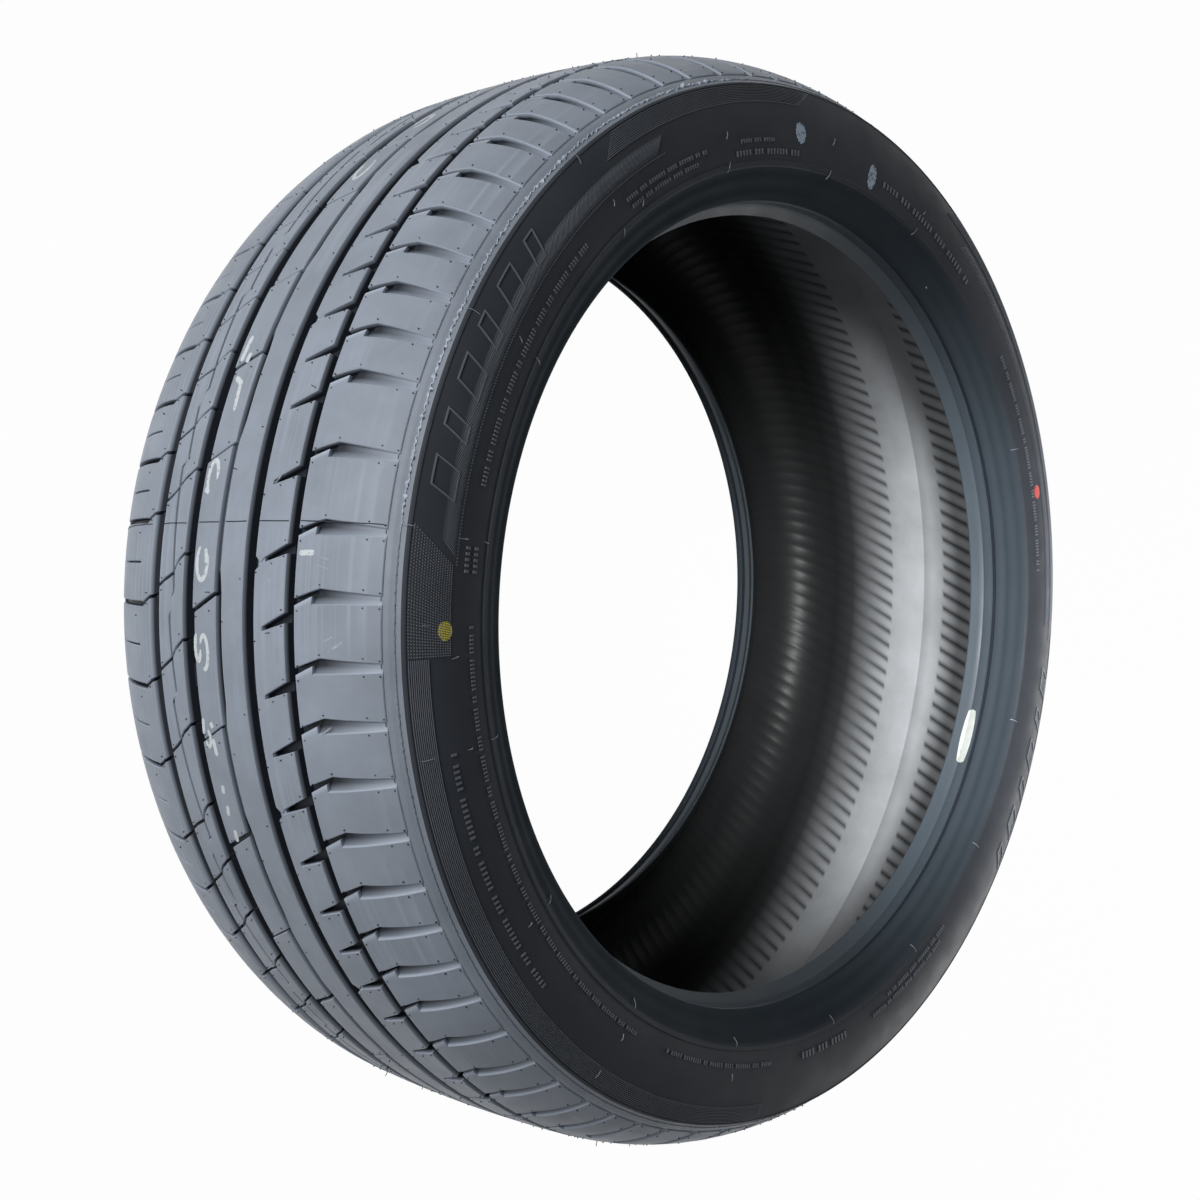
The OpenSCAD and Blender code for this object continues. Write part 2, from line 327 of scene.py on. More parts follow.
def slab_quads(rows, columns):
    """Quads of a closed slab: a top grid, a bottom grid after it, and four walls between them."""
    index = np.arange(rows * columns).reshape(rows, columns)
    under = index + rows * columns

    def sheet(a):
        return np.stack([a[:-1, :-1], a[:-1, 1:], a[1:, 1:], a[1:, :-1]], axis=-1).reshape(-1, 4)

    def wall(a, b):
        return np.stack([a[:-1], b[:-1], b[1:], a[1:]], axis=-1)

    rim = np.concatenate([index[0, :], index[1:, -1], index[-1, -2::-1], index[-2:0:-1, 0]])
    rim_under = rim + rows * columns
    rim, rim_under = np.append(rim, rim[0]), np.append(rim_under, rim_under[0])
    return np.concatenate([sheet(index), sheet(under)[:, ::-1], wall(rim, rim_under)])


def many(quads, count, size):
    """The same quads for each of count copies that have size points each."""
    return (quads[None] + (np.arange(count) * size)[:, None, None]).reshape(-1, 4)


BOX_QUADS = np.array([[0, 1, 2, 3], [7, 6, 5, 4], [0, 4, 5, 1], [1, 5, 6, 2], [2, 6, 7, 3], [3, 7, 4, 0]])


def section_side(z_sign):
    """Outline of one side, from the shoulder blocks' ledge to the liner: radius, height and finish."""
    c, t = casing(), tread()
    edge = float(tread_radius(c.half_tread))
    lean = float(tread_lean(c.half_tread))
    band_top = edge - t.ledge * 1.3
    rows = []

    def add(radius, height, finish):
        rows.append((float(radius), float(height), finish))

    # These rows under the shoulder take the groove finish: painted shade.
    for inset, depth in ((4.0, t.groove_depth), (3.0, 4.0), (1.2, t.ledge + 0.3), (0.4, t.ledge)):
        z = c.half_tread - inset
        add(tread_radius(z) - depth * math.cos(lean), z - depth * math.sin(lean), "groove")

    def side(radius, out, finish):
        a = float(side_lean(radius))
        add(radius + out * math.sin(a), side_height(radius) + out * math.cos(a), finish)

    add(band_top + 0.25, c.half_tread + 0.05, "band")
    for radius in steps(band_top - 0.4, c.band_radius + 1.2, 6):
        side(radius, -0.25 * math.sin(math.pi * (band_top - radius) / (band_top - c.band_radius)), "band")
    for radius, out in ((0.5, 0.0), (0.3, 0.5), (-0.3, 0.5), (-0.6, 0.0)):
        side(c.band_radius + radius, out, "sidewall")
    for radius in steps(c.band_radius - 2, c.rim_rib_radius + 4.5, 20):
        side(radius, 0.0, "sidewall")
    for radius, out in ((3.4, 0.0), (3.0, 0.8), (0.8, 0.9), (0.3, 0.1), (-0.6, -0.4)):
        side(c.rim_rib_radius + radius, out, "sidewall")
    flank = ((254.6, -0.9), (252.6, -0.5), (251.2, -0.1), (249.4, 0.0), (247.8, -0.4), (246.0, -0.6))
    for radius, out in flank:
        side(radius, out, "heel")
    for a in steps(0, math.pi / 2, 6):
        add(c.seat_radius + HEEL_ROUND * (1 - math.sin(a)), c.heel_z - HEEL_ROUND * (1 - math.cos(a)), "heel")
    land_end = c.heel_z - HEEL_ROUND - 11.5
    # The bead's groove takes the groove finish: painted shade in the recess.
    for inset, cut, finish in (
        (1.2, 0.0, "heel"), (1.6, 1.3, "groove"), (4.6, 1.3, "groove"), (5.1, 0.1, "bead"),
        (7.0, -0.25, "bead"), (9.4, -0.3, "bead"), (11.0, 0.0, "bead"),
    ):
        add(c.seat_radius + cut, c.heel_z - HEEL_ROUND - inset, finish)
    for part in steps(0.1, 1, 4):
        radius = c.seat_radius + (c.toe_radius - c.seat_radius) * part
        add(radius, land_end + (c.toe_z + 1 - land_end) * part, "bead")
    add(c.toe_radius + 0.3, c.toe_z + 0.2, "bead")
    add(c.toe_radius + 1, c.toe_z, "bead")
    return [(radius, z_sign * height, finish) for radius, height, finish in rows]


def liner_line():
    """The liner's section from toe to toe: a soft S up the side, an arc into the crown, the middle.

    Comes back as radius, height, and the unit vector at each point that looks into the tyre.
    """
    c = casing()
    curve, sag = 50.0, 2.0
    centre_radius, centre_z = c.liner_radius - sag - curve, c.liner_z - curve
    t = steps(0, 1, 10)
    flank_radius = c.toe_radius + 1 + (centre_radius - c.toe_radius - 1) * t
    flank_z = c.toe_z + (c.liner_z - c.toe_z) * (1 - np.cos(math.pi * t)) / 2
    a = steps(0, math.radians(85), 13)[1:]
    arc_radius, arc_z = centre_radius + curve * np.sin(a), centre_z + curve * np.cos(a)
    half_z = np.array([60, 46, LINER_SMOOTH + 1, LINER_SMOOTH - 1, 14.0])
    half_radius = c.liner_radius - sag * (half_z / arc_z[-1]) ** 2
    seam_z, seam_depth = np.array([6.6, 6.0, 5.0, 4.4]), np.array([0, 0.35, 0.35, 0])
    radius = np.concatenate([flank_radius, arc_radius, half_radius])
    height = np.concatenate([flank_z, arc_z, half_z])
    radius = np.concatenate([radius, c.liner_radius + seam_depth, radius[::-1]])
    height = np.concatenate([height, seam_z, -height[::-1]])
    along_r, along_z = np.gradient(radius), np.gradient(height)
    size = np.hypot(along_r, along_z)
    return radius, height, along_z / size, -along_r / size


def make_casing(columns=480):
    """The tyre's body turned from one section: groove floors, bands, sidewalls, beads, and the inner wall."""
    t = tread()
    floor_z = np.array([
        108, 103, 97, 89, 80, 69.5, 59, 39, 27.5, 13.5, 12.2, 3.0, 1.8,
        -13.5, -27, -45.5, -46.6, -57.0, -58.4, -70, -80, -89, -97, -103, -108,
    ])
    narrow = ((floor_z < 13) & (floor_z > 2)) | ((floor_z < -46) & (floor_z > -57.5))
    depth = np.where(narrow, t.narrow_depth, t.groove_depth)
    lean = tread_lean(floor_z)
    # Groove floors take the groove finish: painted shade.
    floor = [
        (float(r), float(z), "groove")
        for r, z in zip(tread_radius(floor_z) - depth * np.cos(lean), floor_z - depth * np.sin(lean))
    ]
    line_r, line_z, in_r, in_z = liner_line()
    behind = LINER_SETBACK * np.minimum(1, np.hypot(line_r - line_r[0], np.abs(line_z) - line_z[0]) / 8)
    wall = [(float(r), float(z), "bead") for r, z in zip(line_r - behind * in_r, line_z - behind * in_z)]
    loop = floor + section_side(-1) + wall[::-1] + section_side(1)[::-1]
    radius = np.array([row[0] for row in loop])
    height = np.array([row[1] for row in loop])
    finishes = ["groove", "band", "sidewall", "heel", "bead"]
    angle = np.arange(columns) * math.tau / columns
    points = placed(angle[None, :], radius[:, None], height[:, None])
    picks = np.repeat([finishes.index(row[2]) for row in loop], columns)
    materials = [groove_shade_rubber(), band_rubber(), sidewall_rubber(), heel_rubber(), bead_rubber()]
    return new_piece("casing", points, ring_quads(len(loop), columns), materials, picks)


OUTER_PITCHES = "MSSSMMMMLLXXSSSSMMSSSMSM" * 3
INNER_PITCHES = "LLLLSSSSS" * 6
PITCH_SIZES = {"S": 1.0, "M": 1.17, "L": 1.34, "X": 1.52}


def pitch_angles(pitches, first):
    """Angles at which the pitches start: running sums of their sizes, scaled to one turn."""
    sums = np.concatenate([[0], np.cumsum([PITCH_SIZES[kind] for kind in pitches])])
    return first + math.tau * sums / sums[-1]


def outer_starts():
    return pitch_angles(OUTER_PITCHES, bpy.context.scene.tyre_tread.outer_first)


def inner_starts():
    return pitch_angles(INNER_PITCHES, bpy.context.scene.tyre_tread.inner_first)


def along(z, *stops):
    """Value at z on straight lines between (z, value) stops."""
    places, values = zip(*sorted(stops))
    return np.interp(z, places, values)


def rib_rows(low, high, inside, low_lean=0.12, high_lean=0.12):
    """Rows across a rib and the depth of each: foot, eased edge, top, eased edge, foot."""
    t = tread()
    foot, bevel = t.groove_depth + FOOT_SINK, t.bevel
    z = [low - low_lean * foot, low, low + bevel, *inside, high - bevel, high, high + high_lean * foot]
    rim = [foot, bevel, 0, *[0] * len(inside), 0, bevel, foot]
    return np.array(z, float), np.array(rim, float)


def make_rib(name, z, rim, starts, cuts, cut_depths, fill, bend=None):
    """Closed ring of tread between two grooves.

    Each pitch has the columns that cuts(z) gives as distances along the tread, then fill columns that
    divide the block up to the next pitch. The depth below the surface at a row and a column is the
    larger of the row's and the cut's. bend(angle, z, depth) may move points and deepen them.
    """
    radius = tread_radius(z)
    columns = cuts(z)
    here = starts[:-1, None, None] + columns / radius[:, None]
    first = np.concatenate([here[1:, :, :1], here[:1, :, :1] + math.tau])
    part = steps(0, 1, fill + 2)[1:-1]
    blocks = here[:, :, -1:] + (first - here[:, :, -1:]) * part
    angle = np.concatenate([here, blocks], axis=2)
    depth = np.zeros_like(angle)
    depth[:, :, : columns.shape[-1]] = cut_depths(z, np.arange(len(starts) - 1))
    depth = np.maximum(depth, rim[None, :, None])
    angle = angle.transpose(1, 0, 2).reshape(len(z), -1)
    depth = depth.transpose(1, 0, 2).reshape(len(z), -1)
    place = np.broadcast_to(z[:, None], angle.shape)
    if bend:
        place, depth = bend(angle, place, depth)
    points = tread_point(angle, place, depth)
    # The depth attribute darkens grooves and slots, painted shade, and lightens eased edges, painted
    # highlight.
    return new_piece(name, points, ring_quads(*angle.shape), [tread_shade_and_highlight_rubber()], depths=depth)


def cut_columns(left, right, bevel, wall=0.12):
    """Six columns of one cut: each side's eased edge, lip and floor corner."""
    return np.stack([left - bevel, left, left + wall, right - wall, right, right + bevel], axis=-1)


def cut_floor(z, pitches, depth, bevel):
    """Depths of those six columns, from the cut's depth at each row; where that is 0, the top stays whole."""
    depth = np.broadcast_to(depth, (len(pitches), len(z)))
    lip = np.minimum(depth, bevel)
    return np.stack([0 * depth, lip, depth, depth, lip, 0 * depth], axis=-1)


def make_outer_shoulder():
    """Wide shoulder blocks of the outer side: a slanted slot opens into a wedge with a rising floor."""
    c, t = casing(), tread()
    high = c.half_tread
    inside = [70.5, 73, 76, 79.1, 79.4, 80.2, 81.2, 83.6, 87, 91, 96, 101, 106, 110]
    z, rim = rib_rows(68.3, high, inside)
    z[-1], rim[-1] = high - 3, t.groove_depth + FOOT_SINK
    z, rim = np.insert(z, -1, high + 0.05), np.insert(rim, -1, t.ledge + 0.6)
    z, rim = np.append(z, [97, 86, 77]), np.append(rim, [t.groove_depth + FOOT_SINK] * 3)

    def right(z):
        return along(z, (60, -6.8), (68.3, -3.95), (83.6, 1.3), (113.1, -1.1), (118, -1.5))

    def middle(z):
        return along(z, (60, -11.1), (68.3, -7.45), (80.1, -2.2), (113.1, -3.2), (118, -3.3))

    def left(z):
        return along(z, (60, -14), (68.3, -11.2), (79.2, -6.6), (113.1, -5.3), (118, -5.1))

    def cuts(z):
        b, wall = t.bevel, 0.25
        edges = [left(z) - b, left(z), left(z) + 0.7, middle(z), middle(z) + 0.25, right(z) - wall, right(z)]
        return np.stack([*edges, right(z) + b], axis=-1)

    def depths(z, pitches):
        rising = along(z, (79.3, 3.4), (high, t.ledge + 0.1), (high + 1, t.ledge + 0.1))
        wedge = np.where(z > 79.25, rising, 0)
        slot = np.where(z < 79.8, t.slot_depth, np.maximum(wedge, along(z, (80, t.slot_depth), (81.5, 0))))
        lip, slot_lip = np.minimum(wedge, t.bevel), np.minimum(slot, t.bevel)
        none = 0 * z
        middle_lip = np.where(wedge > 0, wedge, slot_lip)
        return np.stack([none, lip, 0.62 * wedge, middle_lip, slot, slot, slot_lip, none], axis=-1)[None]

    return make_rib("outer_shoulder_blocks", z, rim, outer_starts(), cuts, depths, 5)


def make_outer_rib():
    """Rib between the two outer wide grooves: blunt slots, every fourth with a small chamfer below."""
    t = tread()
    inside = [39.5, 41.8, 42.2, 44.5, 44.8, 47, 50, 53, 56, 59]
    z, rim = rib_rows(37.9, 61.3, inside)

    def cuts(z):
        left = along(z, (30, -30), (37.9, -25.4), (42, -22.2), (44.7, -21.0), (61.3, -16.5), (70, -14))
        right = along(z, (30, -13), (37.9, -18.4), (42, -21.5), (44.7, -18.8), (61.3, -11.4), (70, -7.5))
        return cut_columns(left, right, t.bevel)

    def depths(z, pitches):
        through = (pitches % 4 == 2)[:, None]
        slot = np.where(z > 44.65, t.slot_depth + 0.5, 0)[None]
        chamfer = np.where(z < 42.1, along(z, (37.9, 2.0), (42, 0.4)), np.where(z < 44.6, 0.8, 0))[None]
        return cut_floor(z, pitches, np.where(through, np.maximum(slot, chamfer), slot + 0 * z), t.bevel)

    return make_rib("outer_rib", z, rim, outer_starts(), cuts, depths, 4)


def centre_sipe(z):
    """Line of the centre rib's sipes, which the narrow groove's jogs follow."""
    return along(z, (-25, -53.2), (-14, -47.6), (5, -38.4), (9, -37.8), (30, -37.8))


def block_is_odd(angle, starts, shift):
    """True at angles in every second of the blocks that begin at starts, moved on by shift."""
    turned = starts[0] + np.mod(angle - shift - starts[0], math.tau)
    return np.searchsorted(starts, turned, side="right") % 2 == 0


def make_plain_rib():
    """Plain rib beside the centre wide groove: its lower edge jogs, half of the narrow groove is shallow."""
    z, rim = rib_rows(10.3, 28.5, [13, 18, 23])
    z = np.concatenate([[2.5, 4.4, 9.9], z[1:], [2.4]])
    rim = np.concatenate([[9.0, 2.6, 2.8], rim[1:], [9.0]])

    def cuts(z):
        return centre_sipe(z)[:, None] + np.array([-0.2, 0.2, 12, 24])

    def depths(z, pitches):
        return np.zeros((len(pitches), len(z), 4))

    starts = outer_starts()[::2]

    def bend(angle, z, depth):
        shift = np.radians(0.05) + centre_sipe(z) / tread_radius(z)
        odd = block_is_odd(angle, starts, shift)
        low = z < 12
        deep = np.where((z < 10.1) & ~odd, 9.0, depth)
        return z + np.where(low, np.where(odd, -GROOVE_JOG, GROOVE_JOG), 0), deep

    return make_rib("plain_rib", z, rim, starts, cuts, depths, 12, bend)


def make_centre_rib():
    """Centre rib: a slanted sipe every second pitch, and blocks that jog sideways in turn."""
    t = tread()
    z, rim = rib_rows(-13.4, 5.2, [-10, -6, -2, 2])

    def cuts(z):
        return cut_columns(centre_sipe(z) - 0.95, centre_sipe(z) + 0.95, t.bevel)

    def depths(z, pitches):
        return cut_floor(z, pitches, np.full(len(z), t.slot_depth), t.bevel)

    starts = outer_starts()[::2]

    def bend(angle, z, depth):
        shift = centre_sipe(z) / tread_radius(z)
        odd = block_is_odd(angle, starts, shift)
        return z + np.where(odd, -GROOVE_JOG, GROOVE_JOG), depth

    return make_rib("centre_rib", z, rim, starts, cuts, depths, 16, bend)


def inner_sipe(z):
    """Line of the inner side's sipes: two bends on the rib, then a lean down to the shoulder slot."""
    return along(
        z, (-120, 0), (-64.7, 0), (-57.5, 4.2), (-47.2, 10.8),
        (-35.4, 17.5), (-31, 22.8), (-24.4, 27.6), (-17, 28),
    )


def dash_ends(starts):
    """Where the inner rib's running sipes start and stop: a long one over two pitches, then a short one."""
    def between(i, t):
        return starts[i] + (starts[i + 1] - starts[i]) * t

    first = np.arange(0, len(starts) - 1, 3)
    long_from, long_to = between(first, 0.15), between(first + 1, 0.88)
    short_from, short_to = between(first + 2, 0.0), between(first + 2, 0.86)
    begin = np.stack([long_from, short_from], axis=1).ravel()
    end = np.stack([long_to, short_to], axis=1).ravel()
    return begin, end


def make_inner_rib():
    """Rib between the inner grooves: a bent sipe each pitch, crossed by long sipes that run round."""
    t = tread()
    dash = -35.0
    inside = [-45, -42, -39.5, dash - 0.95, dash - 0.8, dash + 0.8, dash + 0.95, -31, -28.5, -26]
    z, rim = rib_rows(-47.2, -24.4, inside)
    begin, end = dash_ends(inner_starts())

    def cuts(z):
        return cut_columns(inner_sipe(z) - 0.95, inner_sipe(z) + 0.95, t.bevel)

    def depths(z, pitches):
        return cut_floor(z, pitches, np.full(len(z), t.slot_depth), t.bevel)

    def bend(angle, z, depth):
        turned = begin[0] + np.mod(angle - begin[0], math.tau)
        which = np.clip(np.searchsorted(begin, turned, side="right") - 1, 0, len(begin) - 1)
        part = np.clip((turned - begin[which]) / (end[which] - begin[which]), 0, 1)
        drift = np.where(which % 2 == 0, 5.4, 3.0)
        gap_end = np.append(begin[1:], begin[0] + math.tau)[which]
        back = np.clip((turned - end[which]) / (gap_end - end[which]), 0, 1)
        near = np.clip(1 - (np.abs(z - dash) - 0.95) / 6, 0, 1)
        shift = (0.5 - part + back) * drift * near
        on_row = np.abs(z - dash) < 0.85
        inside_dash = (turned <= end[which]) & on_row
        return z + shift, np.where(inside_dash, np.maximum(depth, t.slot_depth - 0.5), depth)

    return make_rib("inner_rib", z, rim, inner_starts(), cuts, depths, 14, bend)


def make_inner_shoulder():
    """Inner shoulder blocks: a slanted sipe runs into an open slot each pitch, with a thin sipe midway."""
    c, t = casing(), tread()
    low = -c.half_tread
    inside = [-111, -105, -99.2, -98.8, -93, -87, -80, -73, -69, -68.6, -66, -64.7, -62, -60]
    z, rim = rib_rows(low, -58.0, inside, high_lean=0.42)
    z[0], rim[0] = low + 3, t.groove_depth + FOOT_SINK
    z, rim = np.insert(z, 1, low - 0.05), np.insert(rim, 1, t.ledge + 0.6)
    z, rim = np.append(z, [-70, -84, -97]), np.append(rim, [t.groove_depth + FOOT_SINK] * 3)
    starts = inner_starts()
    middle = (starts[:-1] + starts[1:]) / 2
    all_starts = np.append(np.stack([starts[:-1], middle], axis=1).ravel(), starts[-1])

    def cuts(z):
        slot_half = along(z, (-116, 1.3), (-66, 1.5), (-64, 1.0), (-50, 0.95))
        notch_half = 0.55 + 0 * z
        half = np.where((np.arange(len(all_starts) - 1) % 2 == 0)[:, None], slot_half, notch_half)
        slanted = inner_sipe(z)
        return cut_columns(slanted - half, slanted + half, t.bevel)

    def depths(z, pitches):
        slot = along(z, (low, t.ledge + 1.2), (low + 12, 4.0), (-75, t.slot_depth), (-50, t.slot_depth))
        notch = np.where((z < -68.8) & (z > -99), 3.0, 0)
        main = (pitches % 2 == 0)[:, None]
        return cut_floor(z, pitches, np.where(main, slot, notch), t.bevel)

    return make_rib("inner_shoulder_blocks", z, rim, all_starts, cuts, depths, 4)


def node_tree(name):
    """A new material with its node tree emptied down to the shader and the output."""
    material = bpy.data.materials.new(name)
    material.use_nodes = True
    tree = material.node_tree
    shader = next(node for node in tree.nodes if node.type == "BSDF_PRINCIPLED")
    return material, tree, shader


def noise(tree, scale, detail=3.0, roughness=0.5):
    """Noise over the piece's own coordinates."""
    place = tree.nodes.new("ShaderNodeTexCoord")
    texture = tree.nodes.new("ShaderNodeTexNoise")
    texture.inputs["Scale"].default_value = scale
    texture.inputs["Detail"].default_value = detail
    texture.inputs["Roughness"].default_value = roughness
    tree.links.new(place.outputs["Object"], texture.inputs["Vector"])
    return texture.outputs["Fac"]


def spread(tree, value, low, high, new_low, new_high):
    """A value carried from one range to another and held inside it."""
    node = tree.nodes.new("ShaderNodeMapRange")
    for name, number in (("From Min", low), ("From Max", high), ("To Min", new_low), ("To Max", new_high)):
        node.inputs[name].default_value = number
    tree.links.new(value, node.inputs["Value"])
    return node.outputs["Result"]


def mixed(tree, share, first, second):
    """Colour between two, each a colour or an output."""
    node = tree.nodes.new("ShaderNodeMix")
    node.data_type = "RGBA"
    tree.links.new(share, node.inputs["Factor"])
    for socket, value in ((node.inputs[6], first), (node.inputs[7], second)):
        if isinstance(value, bpy.types.NodeSocket):
            tree.links.new(value, socket)
        else:
            socket.default_value = (*value, 1)
    return node.outputs[2]


def grain(tree, shader, scale, height):
    """Fine unevenness of moulded rubber, as a bump."""
    bump = tree.nodes.new("ShaderNodeBump")
    bump.inputs["Distance"].default_value = height
    bump.inputs["Strength"].default_value = 1.0
    tree.links.new(noise(tree, scale, 2.0), bump.inputs["Height"])
    tree.links.new(bump.outputs["Normal"], shader.inputs["Normal"])


def shade(tint, share):
    """A colour made darker or lighter."""
    return tuple(share * channel for channel in tint)


FINISHES = {}


def finish(name):
    """Keeps one copy of each material, made on first use."""
    def keep(make):
        def fetch():
            if name not in FINISHES:
                FINISHES[name] = make(bpy.context.scene.tyre_colours)
            return FINISHES[name]
        return fetch
    return keep


def streaks(tree):
    """Fine lines that run round the tyre, kept to patches: noise of height and radius times broad noise."""
    place = tree.nodes.new("ShaderNodeTexCoord")
    parts = tree.nodes.new("ShaderNodeSeparateXYZ")
    flat = tree.nodes.new("ShaderNodeVectorMath")
    flat.operation = "MULTIPLY"
    flat.inputs[1].default_value = (1, 1, 0)
    radius = tree.nodes.new("ShaderNodeVectorMath")
    radius.operation = "LENGTH"
    across = tree.nodes.new("ShaderNodeCombineXYZ")
    lines = tree.nodes.new("ShaderNodeTexNoise")
    lines.inputs["Scale"].default_value = 420
    lines.inputs["Detail"].default_value = 2
    tree.links.new(place.outputs["Object"], parts.inputs[0])
    tree.links.new(place.outputs["Object"], flat.inputs[0])
    tree.links.new(flat.outputs[0], radius.inputs[0])
    tree.links.new(parts.outputs["Z"], across.inputs["X"])
    tree.links.new(radius.outputs["Value"], across.inputs["Y"])
    tree.links.new(across.outputs[0], lines.inputs["Vector"])
    share = tree.nodes.new("ShaderNodeMath")
    share.operation = "MULTIPLY"
    tree.links.new(spread(tree, lines.outputs["Fac"], 0.45, 0.65, 0, 1), share.inputs[0])
    tree.links.new(spread(tree, noise(tree, 17, 2.0), 0.45, 0.62, 0, 1), share.inputs[1])
    return share.outputs[0]


def rubber(name, tint, blotch, rough_low, rough_high, gloss, deep=None, reach=(0.35, 1.4), edge=None):
    """Moulded rubber: a colour with faint blotches, roughness that varies a little, and a fine grain.

    With deep, the colour turns to it over the reach of the depth attribute, which the tread and liner use
    as painted shade in recesses; edge is how much lighter the streaks on the faces are, and the eased edges
    are lighter still, a painted highlight.
    """
    material, tree, shader = node_tree(name)
    pale = tuple(min(1, channel * blotch) for channel in tint)
    share = spread(tree, noise(tree, 22, 4.0, 0.6), 0.35, 0.7, 0, 1)
    tint_out = mixed(tree, share, tint, pale)
    if deep:
        attribute = tree.nodes.new("ShaderNodeAttribute")
        attribute.attribute_name = "depth"
        if edge:
            tint_out = mixed(tree, streaks(tree), tint_out, shade(tint, edge))
            # Eased edges lighter than the face: painted highlight.
            edge_highlight = spread(tree, attribute.outputs["Fac"], 0.05, 0.3, 0, 1)
            tint_out = mixed(tree, edge_highlight, tint_out, shade(tint, 1.25 * edge))
        # Turns to deep with depth: painted shade for tread and liner, the sidewall colour below the relief's
        # painted-highlight tops, plain flash where untorn.
        depth_share = spread(tree, attribute.outputs["Fac"], *reach, 0, 1)
        tint_out = mixed(tree, depth_share, tint_out, deep)
    tree.links.new(tint_out, shader.inputs["Base Color"])
    rough = spread(tree, noise(tree, 60, 3.0), 0.3, 0.7, rough_low, rough_high)
    tree.links.new(rough, shader.inputs["Roughness"])
    shader.inputs["Specular IOR Level"].default_value = gloss
    grain(tree, shader, 900, 0.00005)
    return material


@finish("tread_shade_and_highlight_rubber")
def tread_shade_and_highlight_rubber(colours):
    # Turns to the groove colour with depth, painted shade in grooves and slots; lighter eased edges are a
    # painted highlight.
    tint = shade(colours.tread, 0.93)
    return rubber("tread_shade_and_highlight_rubber", tint, 1.25, 0.42, 0.54, 0.2, tuple(colours.groove), (0.45, 3.0), 1.3)


@finish("band_rubber")
def band_rubber(colours):
    # A darker copy of the tread's colour, so partly painted sheen as well.
    return rubber("band_rubber", shade(colours.tread, 0.75), 1.3, 0.4, 0.5, 0.25)


@finish("groove_shade_rubber")
def groove_shade_rubber(colours):
    # Near black: painted shade on groove floors, the bead's groove, wear bars and the mould line.
    return rubber("groove_shade_rubber", tuple(colours.groove), 1.3, 0.5, 0.62, 0.15)


@finish("sidewall_rubber")
def sidewall_rubber(colours):
    return rubber("sidewall_rubber", tuple(colours.sidewall), 1.25, 0.44, 0.56, 0.07)


@finish("heel_rubber")
def heel_rubber(colours):
    return rubber("heel_rubber", shade(colours.bead, 0.8), 1.12, 0.6, 0.7, 0.02)


@finish("relief_highlight_rubber")
def relief_highlight_rubber(colours):
    tint, low = tuple(colours.raised), tuple(colours.sidewall)
    # Lighter at the relief's tops than at its foot: painted highlight.
    return rubber("relief_highlight_rubber", tint, 1.25, 0.42, 0.54, 0.2, low, (0.0, 0.9))


@finish("bead_rubber")
def bead_rubber(colours):
    return rubber("bead_rubber", tuple(colours.bead), 1.15, 0.38, 0.48, 0.2)


@finish("liner_dust_and_shade_rubber")
def liner_dust_and_shade_rubber(colours):
    """Pale where depth is low: dust and painted light. Dark, glossier where high: painted shade."""
    # Near black: painted shade on the far side and in the rib valleys.
    dark = shade(colours.liner, 0.02)
    material = rubber("liner_dust_and_shade_rubber", tuple(colours.liner), 1.3, 0.5, 0.6, 0.08, dark, (0.0, 1.0))
    tree = material.node_tree
    attribute = next(node for node in tree.nodes if node.type == "ATTRIBUTE")
    shader = next(node for node in tree.nodes if node.type == "BSDF_PRINCIPLED")
    tree.links.new(spread(tree, attribute.outputs["Fac"], 0.3, 0.85, 0.6, 0.32), shader.inputs["Roughness"])
    return material


def make_liner():
    """Lining laid on the wall: fine slanted ribs on both sides of a smooth middle with a thin seam.

    Each rib has five columns with a rounded top, and all ribs lean the same way: the angle grows
    with the height across the tyre. The slab's top stands off its line by the rib, its bottom lies behind.
    The depth attribute is high in the rib valleys and towards the far side: painted shade.
    """
    c, r = casing(), relief()
    per_rib = 5
    count = bpy.context.scene.tyre_relief.liner_ribs * per_rib
    radius, height, in_r, in_z = liner_line()
    ribbed = (np.abs(height) > LINER_SMOOTH) & (radius > 262)
    lean = LINER_LEAN * height / c.liner_radius
    column = np.arange(count)
    shape = np.array([0.0, 0.17, 0.34, 0.66, 0.83])[column % per_rib]
    angle = (column // per_rib + shape)[None] * math.tau * per_rib / count + lean[:, None]
    on_top = np.array([0.0, 0.55, 1.0, 1.0, 0.55])[column % per_rib]
    # Painted shade: darker towards the far side (-Z); the ribs there are lower too.
    far_shade = 0.97 * ease((-12 - height) / 55)[:, None]
    rise = np.where(ribbed[:, None], on_top[None], 0.6) * r.liner_rib_height
    out = rise * (1 - 0.5 * far_shade) + 0.15
    top = placed(angle, radius[:, None] + in_r[:, None] * out, height[:, None] + in_z[:, None] * out)
    sunk = -0.9 * np.minimum(1, np.hypot(radius - radius[0], np.abs(height) - height[0]) / 8)[:, None]
    under = placed(angle, radius[:, None] + in_r[:, None] * sunk, height[:, None] + in_z[:, None] * sunk)[::2]
    # Painted shade in the valleys between the ribs.
    valley_shade = np.where(ribbed[:, None], 1 - on_top[None], 0.0)
    depths = np.concatenate([far_shade + (0.9 - 0.85 * far_shade) * valley_shade * (1 - far_shade), 0 * angle[::2]])
    points = np.concatenate([top, under[::-1]])
    quads = ring_quads(len(radius) + len(under), count)
    return new_piece("liner", points, quads, [liner_dust_and_shade_rubber()], depths=depths, sharp=60)


def outward(points, quads):
    """A closed part's points as one list, with its quads turned to face outwards."""
    points = np.asarray(points, float).reshape(-1, 3)
    return (points, quads) if signed_volume(points, quads) > 0 else (points, quads[:, ::-1])


def joined(parts):
    """Several closed parts as one list of points and one of quads."""
    points, quads, offset = [], [], 0
    for part_points, part_quads in parts:
        part_points, part_quads = outward(part_points, part_quads)
        points.append(part_points)
        quads.append(part_quads + offset)
        offset += len(part_points)
    return np.concatenate(points), np.concatenate(quads)


